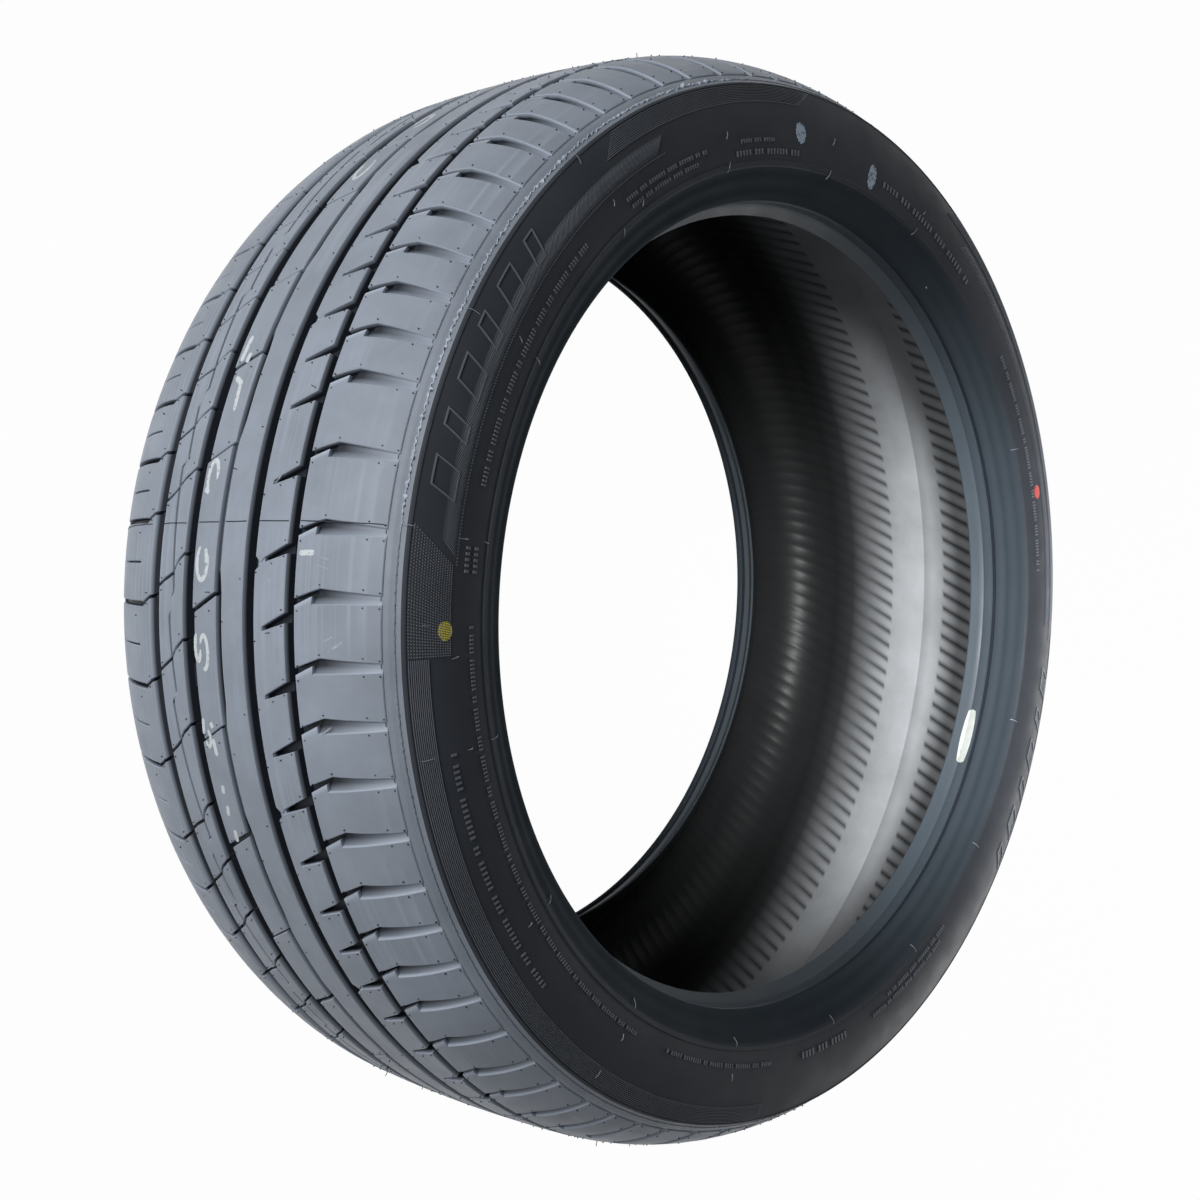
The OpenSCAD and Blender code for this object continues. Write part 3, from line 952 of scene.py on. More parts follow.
def side_slab(angle, radius, height, side=1, sink=0.6):
    """Closed patch on the sidewall: a grid raised by height over one sunk below the rubber."""
    angle, radius, height = np.broadcast_arrays(angle, radius, height)
    top, under = side_point(angle, radius, height, side), side_point(angle, radius, -sink, side)
    points = np.concatenate([top.reshape(-1, 3), under.reshape(-1, 3)])
    return points, slab_quads(*angle.shape)


def tread_slab(angle, z, height, sink=0.4):
    """Closed patch on the tread, raised by height over its surface."""
    angle, z, height = np.broadcast_arrays(angle, z, height)
    top, under = tread_point(angle, z, -height), tread_point(angle, z, sink)
    points = np.concatenate([top.reshape(-1, 3), under.reshape(-1, 3)])
    return points, slab_quads(*angle.shape)


def lowness(points, height):
    """1 on the sidewall's own surface and 0 at the height of its relief."""
    radius = np.hypot(points[:, 0], points[:, 1])
    out = (np.abs(points[:, 2]) - side_height(radius)) * np.cos(side_lean(radius))
    return 1 - np.clip(out / height, 0, 1)


def ridges(start, stop, count):
    """Places and heights (0 or 1) of count flat-topped ridges between two places, four of each to a ridge."""
    pitch = (stop - start) / count
    place = start + pitch * (np.arange(count)[:, None] + np.array([0.12, 0.38, 0.62, 0.88])).ravel()
    return place, np.tile([0.0, 1.0, 1.0, 0.0], count)


def serration(start, stop, low, high, count, side=1, start_slant=0.0, stop_slant=0.0):
    """Fine ridges that run round the sidewall between two angles; the slants lean its ends, in degrees."""
    height = relief().ridge_height
    radius, top = ridges(low, high, count)
    part = (radius - low) / (high - low)
    columns = max(8, int((stop - start) / 1.2))
    begin = np.radians(start + start_slant * part)
    end = np.radians(stop + stop_slant * part)
    angle = begin[:, None] + (end - begin)[:, None] * steps(0, 1, columns)[None]
    return side_slab(angle, radius[:, None], height * top[:, None], side)


def hatching(start, stop, low, high, count, side=1, start_slant=0.0, stop_slant=0.0):
    """Fine ridges that run across the sidewall's band, side by side between two angles."""
    height = relief().ridge_height
    part, top = ridges(0.0, 1.0, count)
    radius = steps(low, high, 5)
    across = steps(0, 1, 5)
    begin = np.radians(start + start_slant * across)
    end = np.radians(stop + stop_slant * across)
    angle = begin[:, None] + (end - begin)[:, None] * part[None]
    edge = np.array([0.2, 1, 1, 1, 0.2])
    return side_slab(angle, radius[:, None], height * edge[:, None] * top[None], side)


def checkering(start, stop, low, high, rounds, across, side=1, start_slant=0.0, stop_slant=0.0):
    """Field of tiny raised squares: ridges both ways, and the height is the product of the two."""
    height = relief().ridge_height
    radius, ring_top = ridges(low, high, rounds)
    part, spoke_top = ridges(0.0, 1.0, across)
    share = (radius - low) / (high - low)
    begin = np.radians(start + start_slant * share)
    end = np.radians(stop + stop_slant * share)
    angle = begin[:, None] + (end - begin)[:, None] * part[None]
    return side_slab(angle, radius[:, None], height * ring_top[:, None] * spoke_top[None], side)


def raised_bars(angle, radius, wide, tall, lean=0.0, side=1, height=None):
    """Small raised bars on the sidewall: a box each, wide along the tyre and tall across, leaning by lean."""
    height = relief().mark_height if height is None else height
    angle, radius = (np.atleast_1d(a)[:, None] for a in np.broadcast_arrays(angle, radius))
    across = np.array([-1, 1, 1, -1.0])
    up = np.array([-1, -1, 1, 1.0])
    corners = []
    for out, size in ((height, 0.86), (-0.5, 1.0)):
        shift = (across * wide / 2 + up * lean * tall / 2) * size
        spot_radius = radius + up * tall / 2 * size
        corners.append(side_point(angle + shift / radius, spot_radius, out + 0 * shift, side))
    points = np.concatenate(corners, axis=1)
    return points.reshape(-1, 3), many(BOX_QUADS, len(angle), 8)


WORDS = (5, 3, 7, 4, 6, 2, 8)


def bar_row(start, stop, radius, wide, gap, tall, side=1, lean=0.0):
    """Row of plain bars in groups of uneven length, in place of small moulded notices."""
    pitch = (wide + gap) / radius
    count = int(math.radians(stop - start) / pitch)
    group_ends = np.cumsum([n + 1 for n in WORDS * (1 + count // 35)]) - 1
    kept = np.setdiff1d(np.arange(count), group_ends)
    places = math.radians(start) + kept * pitch
    return raised_bars(places, np.full(len(kept), float(radius)), wide, tall, lean, side)


def outline_frame(middle, radius, long, tall, lean, line, side=1, height=None):
    """Raised outline of a leaning bar: its perimeter walked once, with a flat-topped line along it."""
    height = relief().mark_height if height is None else height
    corner = np.array([[-1, -1], [1, -1], [1, 1], [-1, 1.0]])
    t = (np.arange(32) / 8)[:, None]
    at = np.floor(t[:, 0]).astype(int) % 4
    walk = corner[at] + (corner[(at + 1) % 4] - corner[at]) * (t - np.floor(t))
    rows = []
    for inset, out in ((0.0, -0.5), (0.15, height), (line - 0.15, height), (line, -0.5)):
        along_bar = walk[:, 0] * (long / 2 - inset * 1.15)
        up = walk[:, 1] * (tall / 2 - inset)
        spot_radius = radius + up
        angle = math.radians(middle) + (along_bar + lean * up) / spot_radius
        rows.append(side_point(angle, spot_radius, out + 0 * up, side))
    points = np.stack(rows)
    return points.reshape(-1, 3), ring_quads(4, 32)


def hairs(angle, radius, reach, sweep, lift, side=1, thick=0.22):
    """Vent hairs on the sidewall: thin tapering strips that rise from the rubber and lie over across it."""
    angle, radius, reach, sweep = (np.asarray(a, float)[:, None, None] for a in (angle, radius, reach, sweep))
    t = steps(0, 1, 6)[None, :, None]
    size = thick * (1 - 0.6 * t)
    across = np.array([-1, 1, 1, -1.0]) * size
    up = np.array([-1, -1, 1, 1.0]) * size
    spot_radius = radius + reach * t + 0 * across
    out = lift * np.sin(math.pi * 0.62 * t) + up - 0.15
    points = side_point(np.radians(angle) + (sweep * t**2 + across) / spot_radius, spot_radius, out, side)
    return points.reshape(-1, 3), many(tube_quads(6, 4), angle.shape[0], 24)


def tube_quads(rings, sides):
    """Quads of a four-sided tube with closed ends."""
    index = np.arange(rings * sides).reshape(rings, sides)
    around = np.roll(index, -1, axis=1)
    wall = np.stack([index[:-1], around[:-1], around[1:], index[1:]], axis=-1).reshape(-1, 4)
    return np.concatenate([wall, index[:1, ::-1], index[-1:]])


def nubs(angle, z, radius, height):
    """Vent nubs on the tread: low six-sided posts."""
    turn_round = np.arange(6) * math.tau / 6
    local = tread_radius(z)[:, None]
    points = []
    for depth, size in ((0.3, 1.0), (-np.asarray(height), 0.8)):
        spot_angle = angle[:, None] + radius * size * np.cos(turn_round) / local
        spot_z = z[:, None] + radius * size * np.sin(turn_round)
        depth = np.broadcast_to(np.reshape(depth, (-1, 1)), spot_z.shape)
        points.append(tread_point(spot_angle, spot_z, depth))
    points = np.concatenate(points, axis=1)
    low, high = np.arange(6), np.arange(6) + 6
    wall = np.stack([low, np.roll(low, -1), np.roll(high, -1), high], axis=-1)
    caps = np.array([[0, 3, 2, 1], [0, 5, 4, 3], [6, 7, 8, 9], [6, 9, 10, 11]])
    return points.reshape(-1, 3), many(np.concatenate([wall, caps]), len(angle), 12)


def on_disc(rings):
    """A square grid squeezed into a disc of radius 1, so that a round patch has no pole."""
    u, v = np.meshgrid(steps(-1, 1, rings), steps(-1, 1, rings), indexing="ij")
    return u * np.sqrt(1 - v**2 / 2), v * np.sqrt(1 - u**2 / 2)


def spot(angle, radius, long, tall, height=0.12, side=1, rough=0.0, seed=1):
    """Thin round or oval patch on the sidewall, with an edge that may be ragged."""
    across, up = on_disc(17)
    edge = 1 + rough * rubble(np.arctan2(up, across), seed, 3)
    r = radius + up * tall / 2 * edge
    return side_slab(math.radians(angle) + across * long / 2 * edge / r, r, height, side, 0.3)


def stroke(path, width, height=0.1, seed=1):
    """Thin brush stroke on the tread along a path of (degrees, z) places, with ragged edges."""
    crown = casing().crown_radius
    path = np.array(path, float)
    t = steps(0, 1, 36)
    knots = steps(0, 1, len(path))
    run = np.radians(np.interp(t, knots, path[:, 0])) * crown
    z = np.interp(t, knots, path[:, 1])
    along_run, along_z = np.gradient(run), np.gradient(z)
    size = np.hypot(along_run, along_z)
    shape = np.sqrt(np.maximum(1 - (2 * t - 1) ** 8, 0.02)) * (1 + 0.16 * rubble(9 * t, seed, 2))
    off = steps(-1, 1, 7)[None] * (width / 2 * shape)[:, None]
    spot_run = run[:, None] - off * (along_z / size)[:, None]
    spot_z = z[:, None] + off * (along_run / size)[:, None]
    return tread_slab(spot_run / crown, spot_z, height, 0.3)


def arc_path(at, z, long, tall, start, stop):
    """Path round part of an oval on the tread, from one angle to another in degrees."""
    turned = np.radians(steps(start, stop, 15))
    return np.stack([at + long / 2 * np.cos(turned), z + tall / 2 * np.sin(turned)], axis=-1)


def make_sidewall_relief():
    """Ridged, hatched and checkered fields of the outer sidewall, and plainer ones on the inner."""
    parts = [
        serration(92, 172.5, 292.6, 302.6, 11),
        checkering(172.6, 181.4, 281, 302.6, 17, 40, start_slant=0.0, stop_slant=3.6),
        hatching(182.2, 236.0, 280.4, 288.6, 216, start_slant=1.6, stop_slant=2.2),
        serration(229.2, 263, 292.6, 302.6, 11, start_slant=3.0, stop_slant=3.0),
        serration(296, 362, 292.6, 302.6, 11, start_slant=3.0, stop_slant=-3.0),
        hatching(300, 360, 280.4, 288.6, 220, start_slant=1.6, stop_slant=-1.6),
    ]
    for start in (10, 130, 250):
        parts.append(serration(start, start + 66, 292.6, 302.6, 11, -1, 2.0, -2.0))
        parts.append(hatching(start + 74, start + 112, 281, 290, 150, -1, 1.5, -1.5))
    points, quads = joined(parts)
    # Depth from lowness: the relief's tops turn lighter, a painted highlight.
    depths = lowness(points, relief().ridge_height)
    return new_piece("sidewall_fields", points, quads, [relief_highlight_rubber()], depths=depths, sharp=25)


def make_sidewall_marks():
    """Plain leaning outlines and rows of small bars, where such a tyre carries its moulded notices."""
    parts = []
    for side, fields in ((1, ((189.5, 6), (8, 6))), (-1, ((50, 6), (170, 6), (290, 6)))):
        for first, count in fields:
            for i in range(count):
                long = 15.5 if i % 2 == 0 else 9.5
                parts.append(outline_frame(first + 5.1 * i, 291.5, long, 13.5, 0.45, 1.0, side))
    rows = (
        (1, 119, 176, 268.6, 1.1, 0.9, 2.6), (1, 135, 164, 285, 1.3, 1.6, 3.2),
        (1, 190, 221, 269.8, 1.1, 1.0, 3.0),
        (1, 181, 184.4, 273.4, 1.6, 1.2, 2.6), (1, 181, 184.4, 268.0, 1.6, 1.2, 2.6),
        (1, 229, 245, 270.6, 1.1, 1.0, 2.4), (1, 229.5, 243, 265.8, 1.1, 1.0, 2.4),
        (1, 250, 263, 265.0, 1.5, 1.3, 3.4), (1, 251, 258, 271.4, 1.1, 1.0, 2.4),
        (1, 281, 306, 268.5, 1.9, 1.6, 4.2), (1, 318, 352, 269.0, 1.1, 1.0, 3.0),
        (1, 52, 70, 270.4, 1.1, 1.0, 2.6), (1, 50, 66, 265.6, 1.1, 1.0, 2.6),
        (1, 76, 86, 269.0, 1.9, 1.4, 4.4), (1, 92, 113, 268.6, 1.1, 0.9, 2.6),
        (-1, 20, 80, 268.6, 1.1, 0.9, 2.6), (-1, 100, 130, 285, 2.0, 2.2, 4.2),
        (-1, 150, 215, 269, 1.1, 1.0, 3.0),
        (-1, 228, 250, 270.6, 1.4, 1.2, 3.0), (-1, 262, 330, 268.6, 1.1, 0.9, 2.6),
    )
    for side, start, stop, radius, wide, gap, tall in rows:
        parts.append(bar_row(start, stop, radius, wide, gap, tall, side))
    dots = np.radians(np.arange(181.5, 237.5, 0.34))
    parts.append(raised_bars(dots, np.full(len(dots), 279.3), 0.9, 0.9, height=0.4))
    points, quads = joined(parts)
    # Depth from lowness: the relief's tops turn lighter, a painted highlight.
    depths = lowness(points, relief().mark_height)
    return new_piece("sidewall_marks", points, quads, [relief_highlight_rubber()], depths=depths, sharp=25)


def make_flash():
    """Torn line of moulding flash on the outer band: a ring whose width and height are uneven."""
    columns = 3600
    angle = np.arange(columns) * math.tau / columns
    torn = ease((np.degrees(angle) - 182) / 6) * ease((262 - np.degrees(angle)) / 14)
    wide = 0.22 + (0.2 + 0.5 * torn) * np.maximum(rubble(angle, 5, 90), 0)
    high = 0.08 + (0.3 + 0.9 * torn) * np.maximum(rubble(angle, 6, 110), 0)
    middle = 306.4 + (0.08 + 0.22 * torn) * rubble(angle, 7, 60)
    parts = []
    for side in (1, -1):
        rows = [
            side_point(angle, middle + across * wide, out, side)
            for across, out in ((-1, -0.5 + 0 * high), (-0.6, high), (0.7, 0.7 * high), (1, -0.5 + 0 * high))
        ]
        parts.append((np.stack(rows), ring_quads(4, columns)))
    points, quads = joined(parts)
    depths = np.tile(1 - torn, 8)
    return new_piece("moulding_flash", points, quads, [flash_rubber()], depths=depths, sharp=20)


def make_nubs():
    """Vent nubs at the corners of the blocks, by pitch, and longer hairs where some were not trimmed."""
    t = tread()
    outer, inner = outer_starts()[:-1], inner_starts()[:-1]
    spots = (
        (outer, ((-7.0, 112), (0.4, 112), (-7.0, 105), (1.6, 105), (3.0, 83.6), (-10.0, 70.4), (-2.8, 70.4),
                 (-17.9, 59.6), (-10.0, 59.6), (-21.6, 50.6), (-26.4, 39.2))),
        (outer[::2], ((-52.0, 12.4), (-30.0, 26.5), (-47.0, 1.0), (-37.6, 1.0), (-50.5, -11.0),
                      (-43.8, -11.0))),
        (inner, ((22.0, -27.0), (30.5, -27.0), (8.0, -45.0), (14.5, -45.0), (0.2, -60.3), (6.0, -60.3),
                 (-6.5, -73.0))),
    )
    angles, heights = [], []
    for starts, places in spots:
        for along_tread, z in places:
            angles.append(starts + along_tread / float(tread_radius(z)))
            heights.append(np.full(len(starts), float(z)))
    angle, z = np.concatenate(angles), np.concatenate(heights)
    draw = np.random.default_rng(11)
    tall = t.nub_height * draw.uniform(0.5, 1.3, len(angle))
    long = (draw.random(len(angle)) < 0.04) & (np.abs(z) < 70)
    tall = np.where(long, draw.uniform(2.0, 3.5, len(angle)), tall)
    parts = [nubs(angle[~long], z[~long], 0.42, tall[~long]), nubs(angle[long], z[long], 0.25, tall[long])]
    points, quads = joined(parts)
    return new_piece("vent_nubs", points, quads, [sidewall_rubber()], sharp=40)


def make_hairs():
    """Vent hairs left on the sidewalls, lying mostly across them."""
    spots = (
        (141.5, 251, 8, 1.0), (141.8, 272, 4, 0.5), (163, 252.5, 9, 0.4), (163, 273.5, 4, 0.3),
        (163.2, 294, 7, 0.4), (172.5, 276.5, 5, -0.8), (175.6, 292, 4, 0.6), (184.2, 258.5, 6, 0.5),
        (184.2, 274, 6, -0.5), (184.6, 302, 5, 0.4), (205.5, 255.5, 7, 0.5), (205.8, 273, 4, 1.2),
        (205.6, 299, 6, -0.6), (226.5, 255.5, 5, 0.8), (226.8, 273, 3.5, 0.5), (226.4, 300, 4, 0.8),
        (231, 262, 3, 1.0), (248, 256, 6, 1.0), (248.4, 274, 4, 0.5), (269, 255, 5, 0.8),
        (269.3, 275, 4, 0.6), (290, 256, 5, 0.7), (290.5, 272, 3, 0.8), (120.5, 252, 6, 0.8),
        (120.8, 272.6, 4, 0.8), (121, 294, 5, 0.7), (99, 253, 5, 0.8), (99.4, 273, 4, 0.4),
        (78, 254, 5, 0.8), (57, 254, 5, 0.7), (36, 255, 5, 0.8), (15, 255, 5, 0.6), (332, 255, 5, 0.7),
    )
    angle, radius, reach, sweep = (np.array(column, float) for column in zip(*spots))
    parts = [hairs(angle, radius, reach, sweep, 1.4), hairs(angle + 7, radius, reach, -sweep, 1.2, side=-1)]
    points, quads = joined(parts)
    return new_piece("vent_hairs", points, quads, [hair_rubber()], sharp=40)


def make_mould_line():
    """Thin line across the tread where two segments of the mould met."""
    parts = []
    for low, high in ((69, 112.4), (38.6, 60.6), (10.4, 27.8), (-13.2, 4.2), (-46.6, -25), (-112, -59)):
        z = steps(low, high, max(4, int((high - low) / 3)))[:, None]
        middle = np.radians(183.95 + 0.004 * z) + 0.18 * rubble(z / 30, 3, 2) / 330
        parts.append(tread_slab(middle + np.array([[-0.28, 0.28]]) / 330, z, 0.12))
    points, quads = joined(parts)
    # The line takes the groove's painted-shade colour, so it reads as a dark seam.
    return new_piece("mould_line", points, quads, [groove_shade_rubber()])


def make_wear_bars():
    """Low bars across the wide grooves, six in each, that show how far the tread is worn."""
    t, parts = tread(), []
    for low, high in ((61.0, 68.8), (28.0, 38.2), (-24.8, -12.8)):
        for k in range(6):
            middle = math.radians(-10 - 60 * k)
            angle = middle + steps(-1, 1, 7)[:, None] * 6 / casing().crown_radius
            height = WEAR_BAR_HEIGHT - t.groove_depth
            parts.append(tread_slab(angle, steps(low, high, 3)[None], height, t.groove_depth + 0.6))
    points, quads = joined(parts)
    # The bars sit in the grooves and take their painted-shade colour.
    return new_piece("wear_bars", points, quads, [groove_shade_rubber()])


def make_paint():
    """Marks painted and chalked on the tread, as plain arcs, strokes and dabs."""
    paths = (
        (arc_path(164.6, -9.0, 1.6, 4.6, 20, 250), 1.7), (((163.0, -3.6), (164.6, -4.4)), 2.2),
        (((165.6, -3.0), (166.1, -4.6)), 2.2), (((164.9, -12.0), (166.4, -10.8)), 1.8),
        (arc_path(172.4, -4.4, 3.0, 7.0, -60, 200), 1.9), (arc_path(172.9, -9.6, 2.6, 4.6, 100, 330), 1.9),
        (arc_path(180.4, -6.8, 3.2, 9.4, 60, 330), 2.0), (((180.0, -2.6), (181.6, -4.4)), 2.0),
        (arc_path(188.0, -6.8, 3.0, 8.0, -150, 100), 2.0), (((186.6, -8.0), (186.9, -12.0)), 2.1),
        (((194.0, -2.0), (196.8, -3.6), (197.4, -9.6)), 2.2), (((199.0, -10.4), (201.6, -8.8)), 2.4),
        (((198.8, -5.0), (199.8, -4.2)), 2.2), (arc_path(222.6, -7.0, 3.2, 8.6, 30, 300), 2.0),
        (arc_path(231.6, -6.0, 3.0, 8.0, -120, 170), 2.0), (((239.4, -3.0), (241.4, -9.6)), 2.4),
        (((154.6, -6.0), (155.8, -4.6)), 2.2), (((157.2, -6.4), (158.2, -4.8)), 2.0),
        (((159.4, -5.6), (160.2, -4.2)), 2.0),
        (((181.5, 70.2), (181.6, 79.6)), 2.1),
    )
    parts = [stroke(path, 1.35 * width, seed=20 + i) for i, (path, width) in enumerate(paths)]
    points, quads = joined(parts)
    return new_piece("tread_paint", points, quads, [worn_paint()])


def make_scuffs():
    """Light scratches on the shoulder blocks and the outer rib."""
    draw = np.random.default_rng(31)
    parts = []
    for at, z, run, drop, width in (
        (173.2, 88, 1.0, 8, 1.2), (174.1, 86, 0.5, 5, 0.5), (166, 80, 0.8, 7, 0.6),
        (181.0, 90, 0.3, -9, 0.35), (180.3, 88, 0.3, -8, 0.3), (187.4, 46, 0.9, 5, 0.5),
        (178.4, 52, 1.0, -4, 0.4), (178.8, 49, 0.8, 2, 0.35),
    ):
        parts.append(stroke(((at, z), (at + run, z + drop)), width, 0.05, int(draw.integers(99))))
    points, quads = joined(parts)
    return new_piece("scuffs", points, quads, [scuff_rubber()])


def make_balance_marks():
    """Yellow and red balance dots and two pale stamps on the outer sidewall."""
    new_piece("yellow_dot", *outward(*spot(175.1, 284.2, 9.4, 7.6)), [dot_paint()])
    new_piece("red_dot", *outward(*spot(340.0, 275.5, 9.6, 7.4)), [red_paint()])
    points, quads = joined([
        spot(262.8, 277, 9, 12, rough=0.12, seed=3),
        spot(278.2, 268.6, 8, 15, rough=0.10, seed=4),
        spot(299, 243.5, 2.0, 1.6),
    ])
    new_piece("stamps", points, quads, [stamp_print()])


def make_label():
    """Blank paper label on the bead: a rounded strip laid on the seat."""
    c = casing()
    long, tall = 39.0, 7.4
    across, up = on_disc(21)
    across = steps(-1, 1, 21)[:, None] * (long - tall) / 2 + across * tall / 2
    up = up * tall / 2
    angle = math.radians(LABEL_ANGLE) + across / c.seat_radius
    z = LABEL_Z + up
    line = np.interp(z, [98.5, 104.0, 106.1, 108.5, 110.4], [232.9, 239.0, 238.7, 238.7, 239.1])
    top = placed(angle, line - 0.25, z)
    under = placed(angle, line + 0.3, z)
    points = np.concatenate([top.reshape(-1, 3), under.reshape(-1, 3)])
    points, quads = outward(points, slab_quads(*angle.shape))
    return new_piece("bead_label", points, quads, [label_paper()])


def paint(name, tint, under, scale, low, high, rough):
    """Worn paint: its colour shows where noise is high, and the rubber below where it isn't."""
    material, tree, shader = node_tree(name)
    share = spread(tree, noise(tree, scale, 3.0, 0.65), low, high, 0, 1)
    tree.links.new(mixed(tree, share, tuple(under), tuple(tint)), shader.inputs["Base Color"])
    shader.inputs["Roughness"].default_value = rough
    return material


@finish("worn_paint")
def worn_paint(colours):
    return paint("worn_paint", colours.chalk, colours.tread, 420, 0.30, 0.44, 0.6)


@finish("scuff_rubber")
def scuff_rubber(colours):
    return paint("scuff_rubber", shade(colours.tread, 1.5), colours.tread, 260, 0.4, 0.62, 0.5)


@finish("flash_rubber")
def flash_rubber(colours):
    tint, plain = shade(colours.tread, 1.3), shade(colours.tread, 0.5)
    return rubber("flash_rubber", tint, 1.5, 0.38, 0.5, 0.3, plain, (0.1, 1.0))


@finish("hair_rubber")
def hair_rubber(colours):
    return rubber("hair_rubber", tuple(colours.tread), 1.2, 0.4, 0.5, 0.5)


@finish("stamp_print")
def stamp_print(colours):
    return paint("stamp_print", colours.print_blue, colours.sidewall, 380, 0.36, 0.48, 0.5)


@finish("label_paper")
def label_paper(colours):
    return paint("label_paper", colours.label, shade(colours.label, 0.8), 90, 0.3, 0.6, 0.45)


@finish("red_paint")
def red_paint(colours):
    return paint("red_paint", colours.red, shade(colours.red, 0.5), 300, 0.3, 0.5, 0.45)


@finish("dot_paint")
def dot_paint(colours):
    """Yellow paint printed through a fine screen: dark where two sets of waves are both low."""
    material, tree, shader = node_tree("dot_paint")
    place = tree.nodes.new("ShaderNodeTexCoord")
    lows = []
    for lean in (0.6, -0.9):
        turned = tree.nodes.new("ShaderNodeMapping")
        turned.inputs["Rotation"].default_value = (0, 0, lean)
        wave = tree.nodes.new("ShaderNodeTexWave")
        wave.inputs["Scale"].default_value = 300
        tree.links.new(place.outputs["Object"], turned.inputs["Vector"])
        tree.links.new(turned.outputs["Vector"], wave.inputs["Vector"])
        lows.append(wave.outputs["Fac"])
    both = tree.nodes.new("ShaderNodeMath")
    both.operation = "MAXIMUM"
    tree.links.new(lows[0], both.inputs[0])
    tree.links.new(lows[1], both.inputs[1])
    share = spread(tree, both.outputs[0], 0.1, 0.35, 0, 1)
    dark = shade(colours.yellow, 0.12)
    tree.links.new(mixed(tree, share, dark, tuple(colours.yellow)), shader.inputs["Base Color"])
    shader.inputs["Roughness"].default_value = 0.45
    return material


def make_stage():
    """White floor that keeps a faint shadow, a white surround, two wide lights and a lamp into the liner."""
    scene = bpy.context.scene
    studio = scene.tyre_studio
    floor_z = -(casing().half_width + FLOOR_GAP) * MM
    corners = [(x * FLOOR_HALF, y * FLOOR_HALF, floor_z) for x, y in ((-1, -1), (1, -1), (1, 1), (-1, 1))]
    mesh = bpy.data.meshes.new("floor")
    mesh.from_pydata(corners, [], [(0, 1, 2, 3)])
    floor = bpy.data.objects.new("floor", mesh)
    scene.collection.objects.link(floor)
    material, tree, shader = node_tree("floor_white")
    shader.inputs["Base Color"].default_value = (0.5, 0.5, 0.5, 1)
    shader.inputs["Roughness"].default_value = 0.9
    glow = tree.nodes.new("ShaderNodeEmission")
    glow.inputs["Strength"].default_value = 1.0
    seen = seen_by_eye(tree)
    scaled = tree.nodes.new("ShaderNodeMath")
    scaled.operation = "MULTIPLY"
    scaled.inputs[1].default_value = FLOOR_GLOW
    tree.links.new(seen, scaled.inputs[0])
    mix = tree.nodes.new("ShaderNodeMixShader")
    output = next(node for node in tree.nodes if node.type == "OUTPUT_MATERIAL")
    tree.links.new(scaled.outputs[0], mix.inputs[0])
    tree.links.new(shader.outputs[0], mix.inputs[1])
    tree.links.new(glow.outputs[0], mix.inputs[2])
    tree.links.new(mix.outputs[0], output.inputs["Surface"])
    mesh.materials.append(material)

    world = bpy.data.worlds.new("surround")
    world.use_nodes = True
    tree = world.node_tree
    plain = next(node for node in tree.nodes if node.type == "BACKGROUND")
    plain.inputs["Color"].default_value = (0.93, 0.96, 1.0, 1)
    plain.inputs["Strength"].default_value = studio.air
    white = tree.nodes.new("ShaderNodeBackground")
    white.inputs["Color"].default_value = (1, 1, 1, 1)
    mix = tree.nodes.new("ShaderNodeMixShader")
    output = next(node for node in tree.nodes if node.type == "OUTPUT_WORLD")
    tree.links.new(seen_by_eye(tree), mix.inputs[0])
    tree.links.new(plain.outputs[0], mix.inputs[1])
    tree.links.new(white.outputs[0], mix.inputs[2])
    tree.links.new(mix.outputs[0], output.inputs["Surface"])
    scene.world = world

    add_light("side_light", (-1.52, 0.38, 0.33), (0, 0, 0), 1.3, 0.7, studio.side_light)
    add_light("back_light", (1.6, -0.35, 0.35), (0, 0, 0), 1.3, 0.7, studio.back_light)
    add_spot("inside_light", (-0.45, 0.06, 0.68), (0.31, -0.03, 0.00), 30, studio.inside_light)
    add_camera(studio)
    scene.view_settings.view_transform = "Standard"


def seen_by_eye(tree):
    """1 for rays from the camera, in a gloss or through glass, and 0 for the light that falls on the tyre."""
    path = tree.nodes.new("ShaderNodeLightPath")
    seen = path.outputs["Is Camera Ray"]
    for name in ("Is Glossy Ray", "Is Transmission Ray"):
        either = tree.nodes.new("ShaderNodeMath")
        either.operation = "MAXIMUM"
        tree.links.new(seen, either.inputs[0])
        tree.links.new(path.outputs[name], either.inputs[1])
        seen = either.outputs[0]
    return seen


def add_light(name, place, target, width, height, power):
    """A rectangular area light that faces a target."""
    lamp = bpy.data.lights.new(name, "AREA")
    lamp.shape = "RECTANGLE"
    lamp.size, lamp.size_y = width, height
    lamp.energy = power
    aim(name, lamp, place, target)


def aim(name, lamp, place, target):
    """Puts a lamp at a place and turns it to face a target."""
    light = bpy.data.objects.new(name, lamp)
    light.location = place
    light.rotation_mode = "QUATERNION"
    light.rotation_quaternion = (Vector(target) - Vector(place)).to_track_quat("-Z", "Y")
    bpy.context.scene.collection.objects.link(light)


def add_spot(name, place, target, cone, power):
    """A soft round lamp whose cone fades to its edge, cone in degrees."""
    lamp = bpy.data.lights.new(name, "SPOT")
    lamp.energy = power
    lamp.spot_size = math.radians(cone)
    lamp.spot_blend = 1.0
    lamp.shadow_soft_size = 0.08
    aim(name, lamp, place, target)


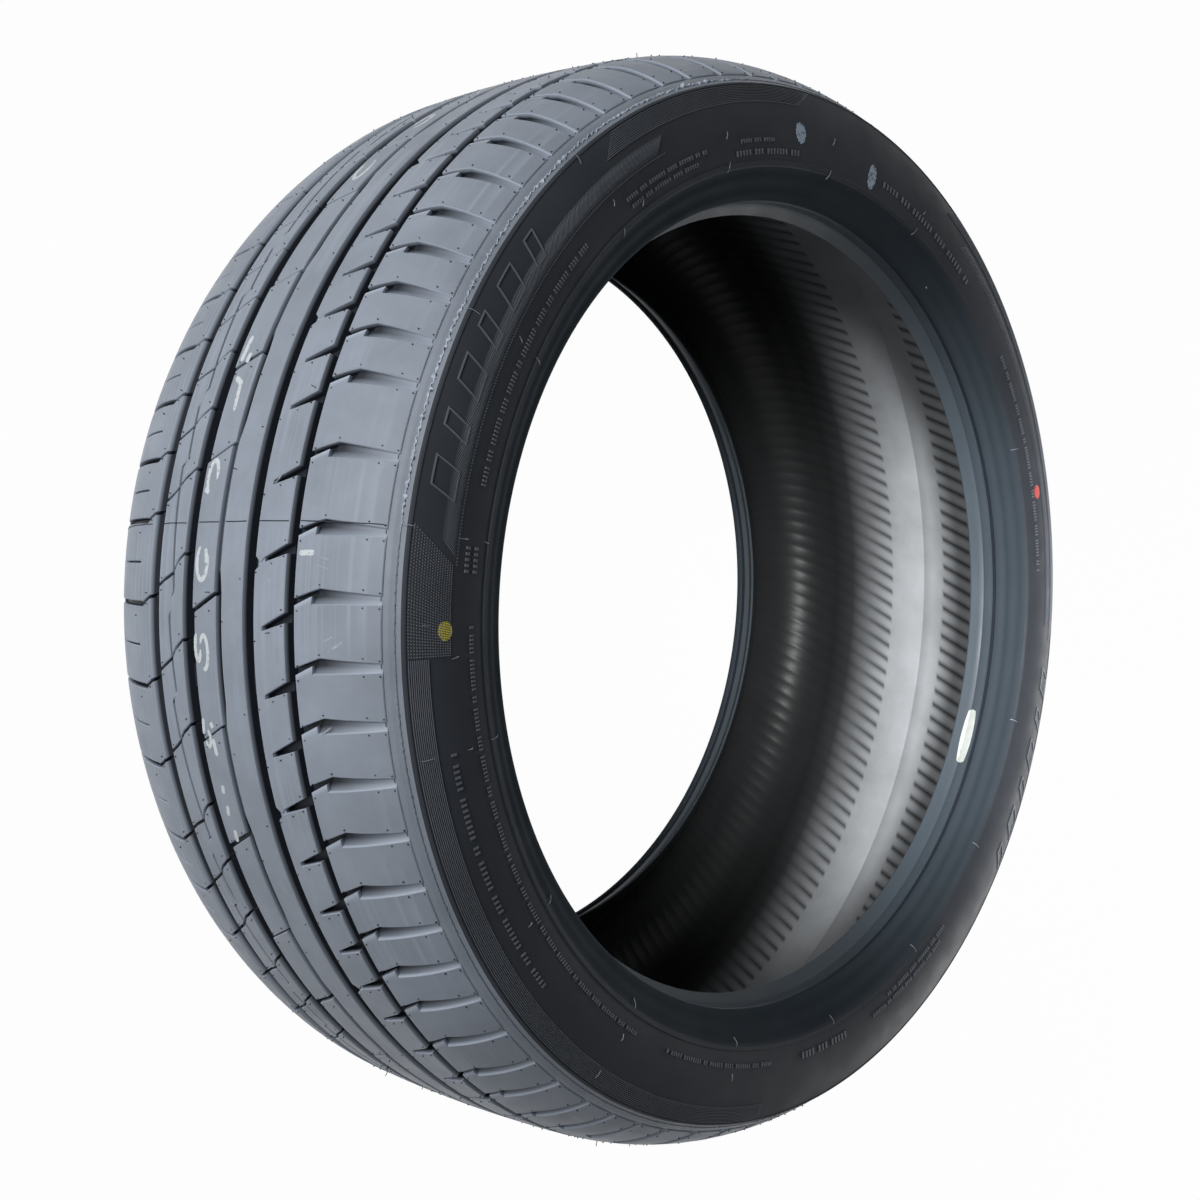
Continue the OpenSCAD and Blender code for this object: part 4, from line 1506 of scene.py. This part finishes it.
def add_camera(studio):
    """Camera on the line from what it looks at, by azimuth and elevation, turned about it by its roll."""
    back = Vector((
        math.cos(studio.elevation) * math.cos(studio.azimuth),
        math.cos(studio.elevation) * math.sin(studio.azimuth),
        math.sin(studio.elevation),
    ))
    level = Vector((0, 0, 1)).cross(back).normalized()
    right = math.cos(studio.roll) * level + math.sin(studio.roll) * back.cross(level)
    up = back.cross(right)
    data = bpy.data.cameras.new("camera")
    data.lens = studio.lens
    data.sensor_width = 36
    camera = bpy.data.objects.new("camera", data)
    place = LOOKS_AT + back * studio.distance
    camera.matrix_world = Matrix((right, up, back)).transposed().to_4x4()
    camera.location = place
    bpy.context.scene.collection.objects.link(camera)
    bpy.context.scene.camera = camera


class TYRE_OT_casing(bpy.types.Operator):
    """Adds the tyre's body: groove floors, bands, sidewalls and beads, turned from one section"""

    bl_idname = "tyre.casing"
    bl_label = "Casing"

    def execute(self, context):
        make_casing()
        return {"FINISHED"}


class TYRE_OT_liner(bpy.types.Operator):
    """Adds the lining with its fine slanted ribs"""

    bl_idname = "tyre.liner"
    bl_label = "Liner"

    def execute(self, context):
        make_liner()
        return {"FINISHED"}


class TYRE_OT_tread(bpy.types.Operator):
    """Adds the six rings of tread blocks and ribs, and the wear bars between them"""

    bl_idname = "tyre.tread"
    bl_label = "Tread"

    def execute(self, context):
        make_outer_shoulder()
        make_outer_rib()
        make_plain_rib()
        make_centre_rib()
        make_inner_rib()
        make_inner_shoulder()
        make_wear_bars()
        return {"FINISHED"}


class TYRE_OT_sidewall(bpy.types.Operator):
    """Adds the ridged, hatched and checkered fields and the plain raised marks of the sidewalls"""

    bl_idname = "tyre.sidewall"
    bl_label = "Sidewall relief"

    def execute(self, context):
        make_sidewall_relief()
        make_sidewall_marks()
        return {"FINISHED"}


class TYRE_OT_moulding(bpy.types.Operator):
    """Adds what the mould left: torn flash, vent nubs, vent hairs and the line between two segments"""

    bl_idname = "tyre.moulding"
    bl_label = "Moulding traces"

    def execute(self, context):
        make_flash()
        make_nubs()
        make_hairs()
        make_mould_line()
        return {"FINISHED"}


class TYRE_OT_marks(bpy.types.Operator):
    """Adds paint on the tread, scuffs, balance dots, stamps and the blank label"""

    bl_idname = "tyre.marks"
    bl_label = "Paint and label"

    def execute(self, context):
        make_paint()
        make_scuffs()
        make_balance_marks()
        make_label()
        return {"FINISHED"}


class TYRE_OT_stage(bpy.types.Operator):
    """Adds the floor, the surround, the lights and the camera"""

    bl_idname = "tyre.stage"
    bl_label = "Stage"

    def execute(self, context):
        make_stage()
        return {"FINISHED"}


OPERATORS = (
    TYRE_OT_casing, TYRE_OT_tread, TYRE_OT_liner, TYRE_OT_sidewall, TYRE_OT_moulding, TYRE_OT_marks,
    TYRE_OT_stage,
)


class TYRE_PT_panel(bpy.types.Panel):
    """Lists the tyre's pieces in the sidebar"""

    bl_label = "Car tyre"
    bl_space_type = "VIEW_3D"
    bl_region_type = "UI"
    bl_category = "Tyre"

    def draw(self, context):
        for operator in OPERATORS:
            self.layout.operator(operator.bl_idname)
        for name in SETTINGS:
            group = getattr(context.scene, name)
            for key in group.__annotations__:
                self.layout.prop(group, key)


SETTINGS = {
    "tyre_casing": TyreCasingSizes,
    "tyre_tread": TyreTreadSizes,
    "tyre_relief": TyreReliefSizes,
    "tyre_colours": TyreColours,
    "tyre_studio": TyreStudio,
}


def register():
    for kind in (*SETTINGS.values(), *OPERATORS, TYRE_PT_panel):
        bpy.utils.register_class(kind)
    for name, kind in SETTINGS.items():
        setattr(bpy.types.Scene, name, PointerProperty(type=kind))


def unregister():
    for name in SETTINGS:
        delattr(bpy.types.Scene, name)
    for kind in reversed((*SETTINGS.values(), *OPERATORS, TYRE_PT_panel)):
        bpy.utils.unregister_class(kind)


def main():
    register()
    for operator in OPERATORS:
        group, name = operator.bl_idname.split(".")
        getattr(getattr(bpy.ops, group), name)()
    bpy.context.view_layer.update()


if __name__ == "__main__":
    main()
